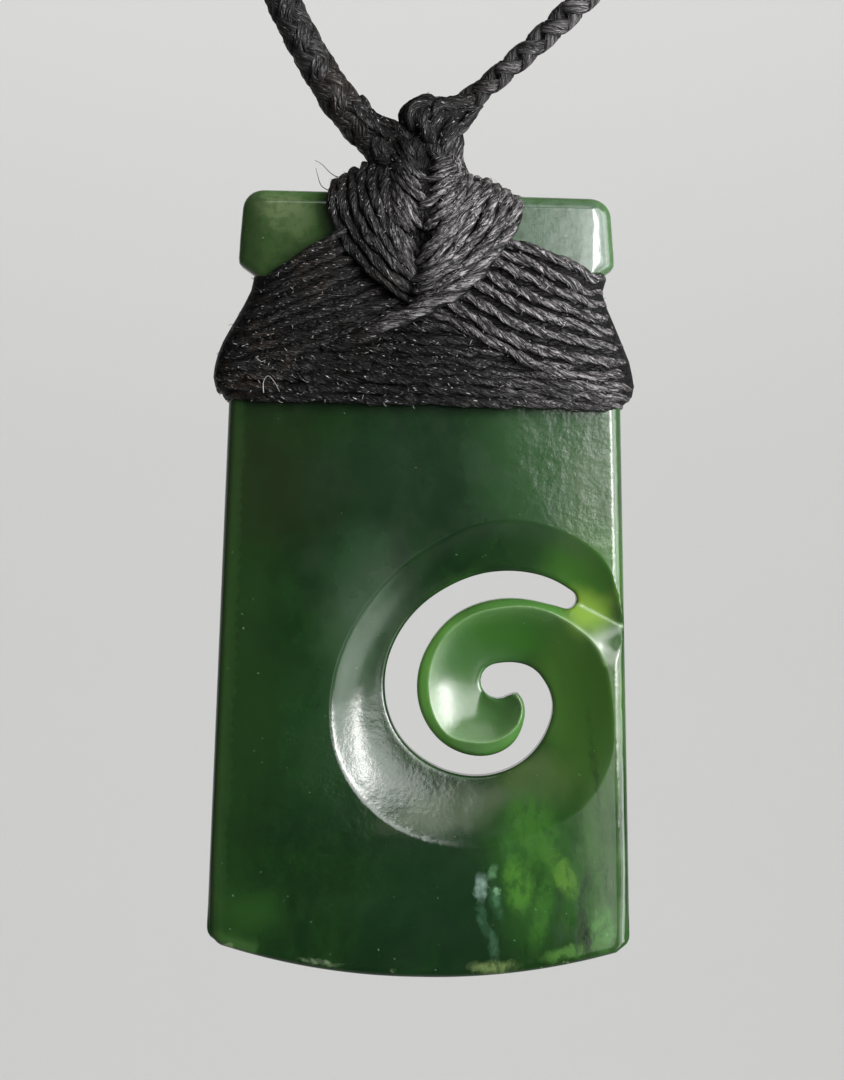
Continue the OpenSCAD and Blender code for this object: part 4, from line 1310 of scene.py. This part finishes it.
# The closure: how long its winding is, how far its cord's middle lies from the axis, and that cord's radius
# and pitch
SLEEVE_LEN, SLEEVE_R, SLEEVE_CORD_R = 17.0, 2.22, 0.44
SLEEVE_PITCH = 1.96 * SLEEVE_CORD_R
# Profile of the closure's core: place along it, radius
SLEEVE_CORE = np.array([(-8.9, 1.2), (-8.7, 1.9), (-8.2, 2.15), (8.2, 2.15), (8.7, 1.9), (8.9, 1.2)])


def make_closure(material):
    """The plain sleeve at the nape: one strand wound closely round the meeting ends of the cords."""
    bundle = Bundle()
    x, y, z = -BLADE
    turn = np.arange(0, SLEEVE_LEN / SLEEVE_PITCH * 2 * math.pi, 0.28)
    winding = np.column_stack([x - SLEEVE_LEN / 2 + SLEEVE_LEN * turn / turn[-1],
                               y + SLEEVE_R * np.cos(turn), z + SLEEVE_R * np.sin(turn)])
    twisted(bundle, winding, radius=SLEEVE_CORD_R, step=0.4)
    core = np.array([[(x + dx, y + radius * math.cos(a), z + radius * math.sin(a)) for a in directions(24)]
                     for dx, radius in SLEEVE_CORE])
    # The core, the meeting ends under the winding, has a groove's height and so is painted in shade
    bundle.add(core, SLEEVE_CORE[:, 0], round_mm=14.0, height=0.0)
    return bundle.make("closure_strands", material)


# Stray fibres that the photograph shows: points in pixels, how far in front of the blade's middle
DARK_STRAYS = [
    ([(350, 176), (345, 172), (338, 176), (330, 172), (322, 164), (315, 160)],
     (2.0, 1.6, 2.0, 2.4, 2.6, 2.8)),
    ([(334, 192), (322, 186), (318, 176), (316, 168)], (2.2, 2.6, 2.9, 3.0))]
PALE_STRAYS = [
    ([(264, 393), (264, 382), (269, 376), (276, 384), (280, 392)], (4.15, 4.35, 4.4, 4.3, 4.15)),
    ([(377, 328), (386, 320), (396, 316), (406, 318), (417, 326)], (4.3, 4.5, 4.6, 4.5, 4.2)),
    ([(256, 357), (262, 362), (266, 360)], (4.15, 4.3, 4.15))]
STRAY_R, FUZZ_R = 0.04, 0.028
# How far the fuzz goes sideways and stands off, shortest and longest
FUZZ_LENGTH, FUZZ_HEIGHT = (0.1, 0.45), (0.03, 0.16)
HAIR_STEP = 0.2


def add_hair(bundle, points, radius):
    """A thin fibre with three sides that gets slimmer towards its end."""
    line = smooth(points, HAIR_STEP)
    side, up = carried(line)
    slim = radius * np.linspace(1.2, 0.5, len(line))[:, None, None]
    rings = line[:, None] + slim * spokes(side, up, 3)
    bundle.add(rings, np.arange(len(line)) * HAIR_STEP, 6 * radius)


def make_lint(name, material, strays, carriers):
    """Stray fibres, and short fuzz that stands off the strands."""
    bundle = Bundle()
    for points, front in strays:
        plan = seen(points)
        add_hair(bundle, np.column_stack([plan[:, 0], -np.array(front), plan[:, 1]]), STRAY_R)
    for carrier, count in carriers:
        verts = carrier.data.vertices
        for i in rng.integers(0, len(verts), count):
            foot = np.array(verts[i].co) / MM - BLADE
            out = np.array(verts[i].normal)
            way = np.cross(out, rng.normal(0, 1, 3))
            way /= max(np.linalg.norm(way), 1e-6)
            reach = rng.uniform(*FUZZ_LENGTH)
            bend = foot + 0.07 * out + 0.3 * reach * way
            tip = foot + rng.uniform(*FUZZ_HEIGHT) * out + reach * way
            add_hair(bundle, np.array([foot - 0.05 * out, bend, tip]), FUZZ_R)
    return bundle.make(name, material)


def lint_material():
    shade = Shade("lint")
    tone = shade.noise(shade.place(), 0.5, 2, 0.5)
    shade.set(Base_Color=shade.mix(tone, (30, 30, 30), (550, 530, 500)), Roughness=0.5)
    return shade.material


make_camera()
make_world()
make_stage(floor_material())
make_lights()

waxed = cord_material("waxed_cord", (6.5, 6.5, 6.8), gloss=0.36, hair=0.6, crack_shade=0.0, fine=1.0)
plaited_cord = cord_material("plaited_cord", (9, 9, 9.3), gloss=0.30, hair=0.25, crack_shade=0.5, fine=0.6)
stone = make_blade(nephrite())
lashing, core = make_lashing(waxed)
wrap = make_wrap(waxed)
knot = make_knot(waxed)
left_cord = make_neck_cord("left_plait", LEFT_ENTRY + LEFT_ROUTE, LEFT_PLAIT, plaited_cord)
right_cord = make_neck_cord("right_plait", RIGHT_ENTRY + RIGHT_ROUTE, RIGHT_PLAIT, plaited_cord)
closure = make_closure(waxed)
strays = make_lint("stray_fibres", waxed, DARK_STRAYS, ())
lint = make_lint("lint", lint_material(), PALE_STRAYS, (
    (lashing, 650), (wrap, 350), (knot, 120), (left_cord, 160), (right_cord, 120)))
for piece, finish, *nodes in (
        (stone, "nephrite", "toki_blade"),
        (lashing, "waxed_cord", "waist_lashing"),
        (core, "waxed_cord", "waist_lashing"),
        (wrap, "waxed_cord", "head_wrap"),
        (knot, "waxed_cord", "neck_knot"),
        (left_cord, "plaited_cord", "neck_cord_left"),
        (right_cord, "plaited_cord", "neck_cord_right"),
        (closure, "waxed_cord", "nape_closure"),
        (lint, "waxed_cord"),
        (strays, "waxed_cord")):
    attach(piece, "root")
    if nodes:
        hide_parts(*nodes)
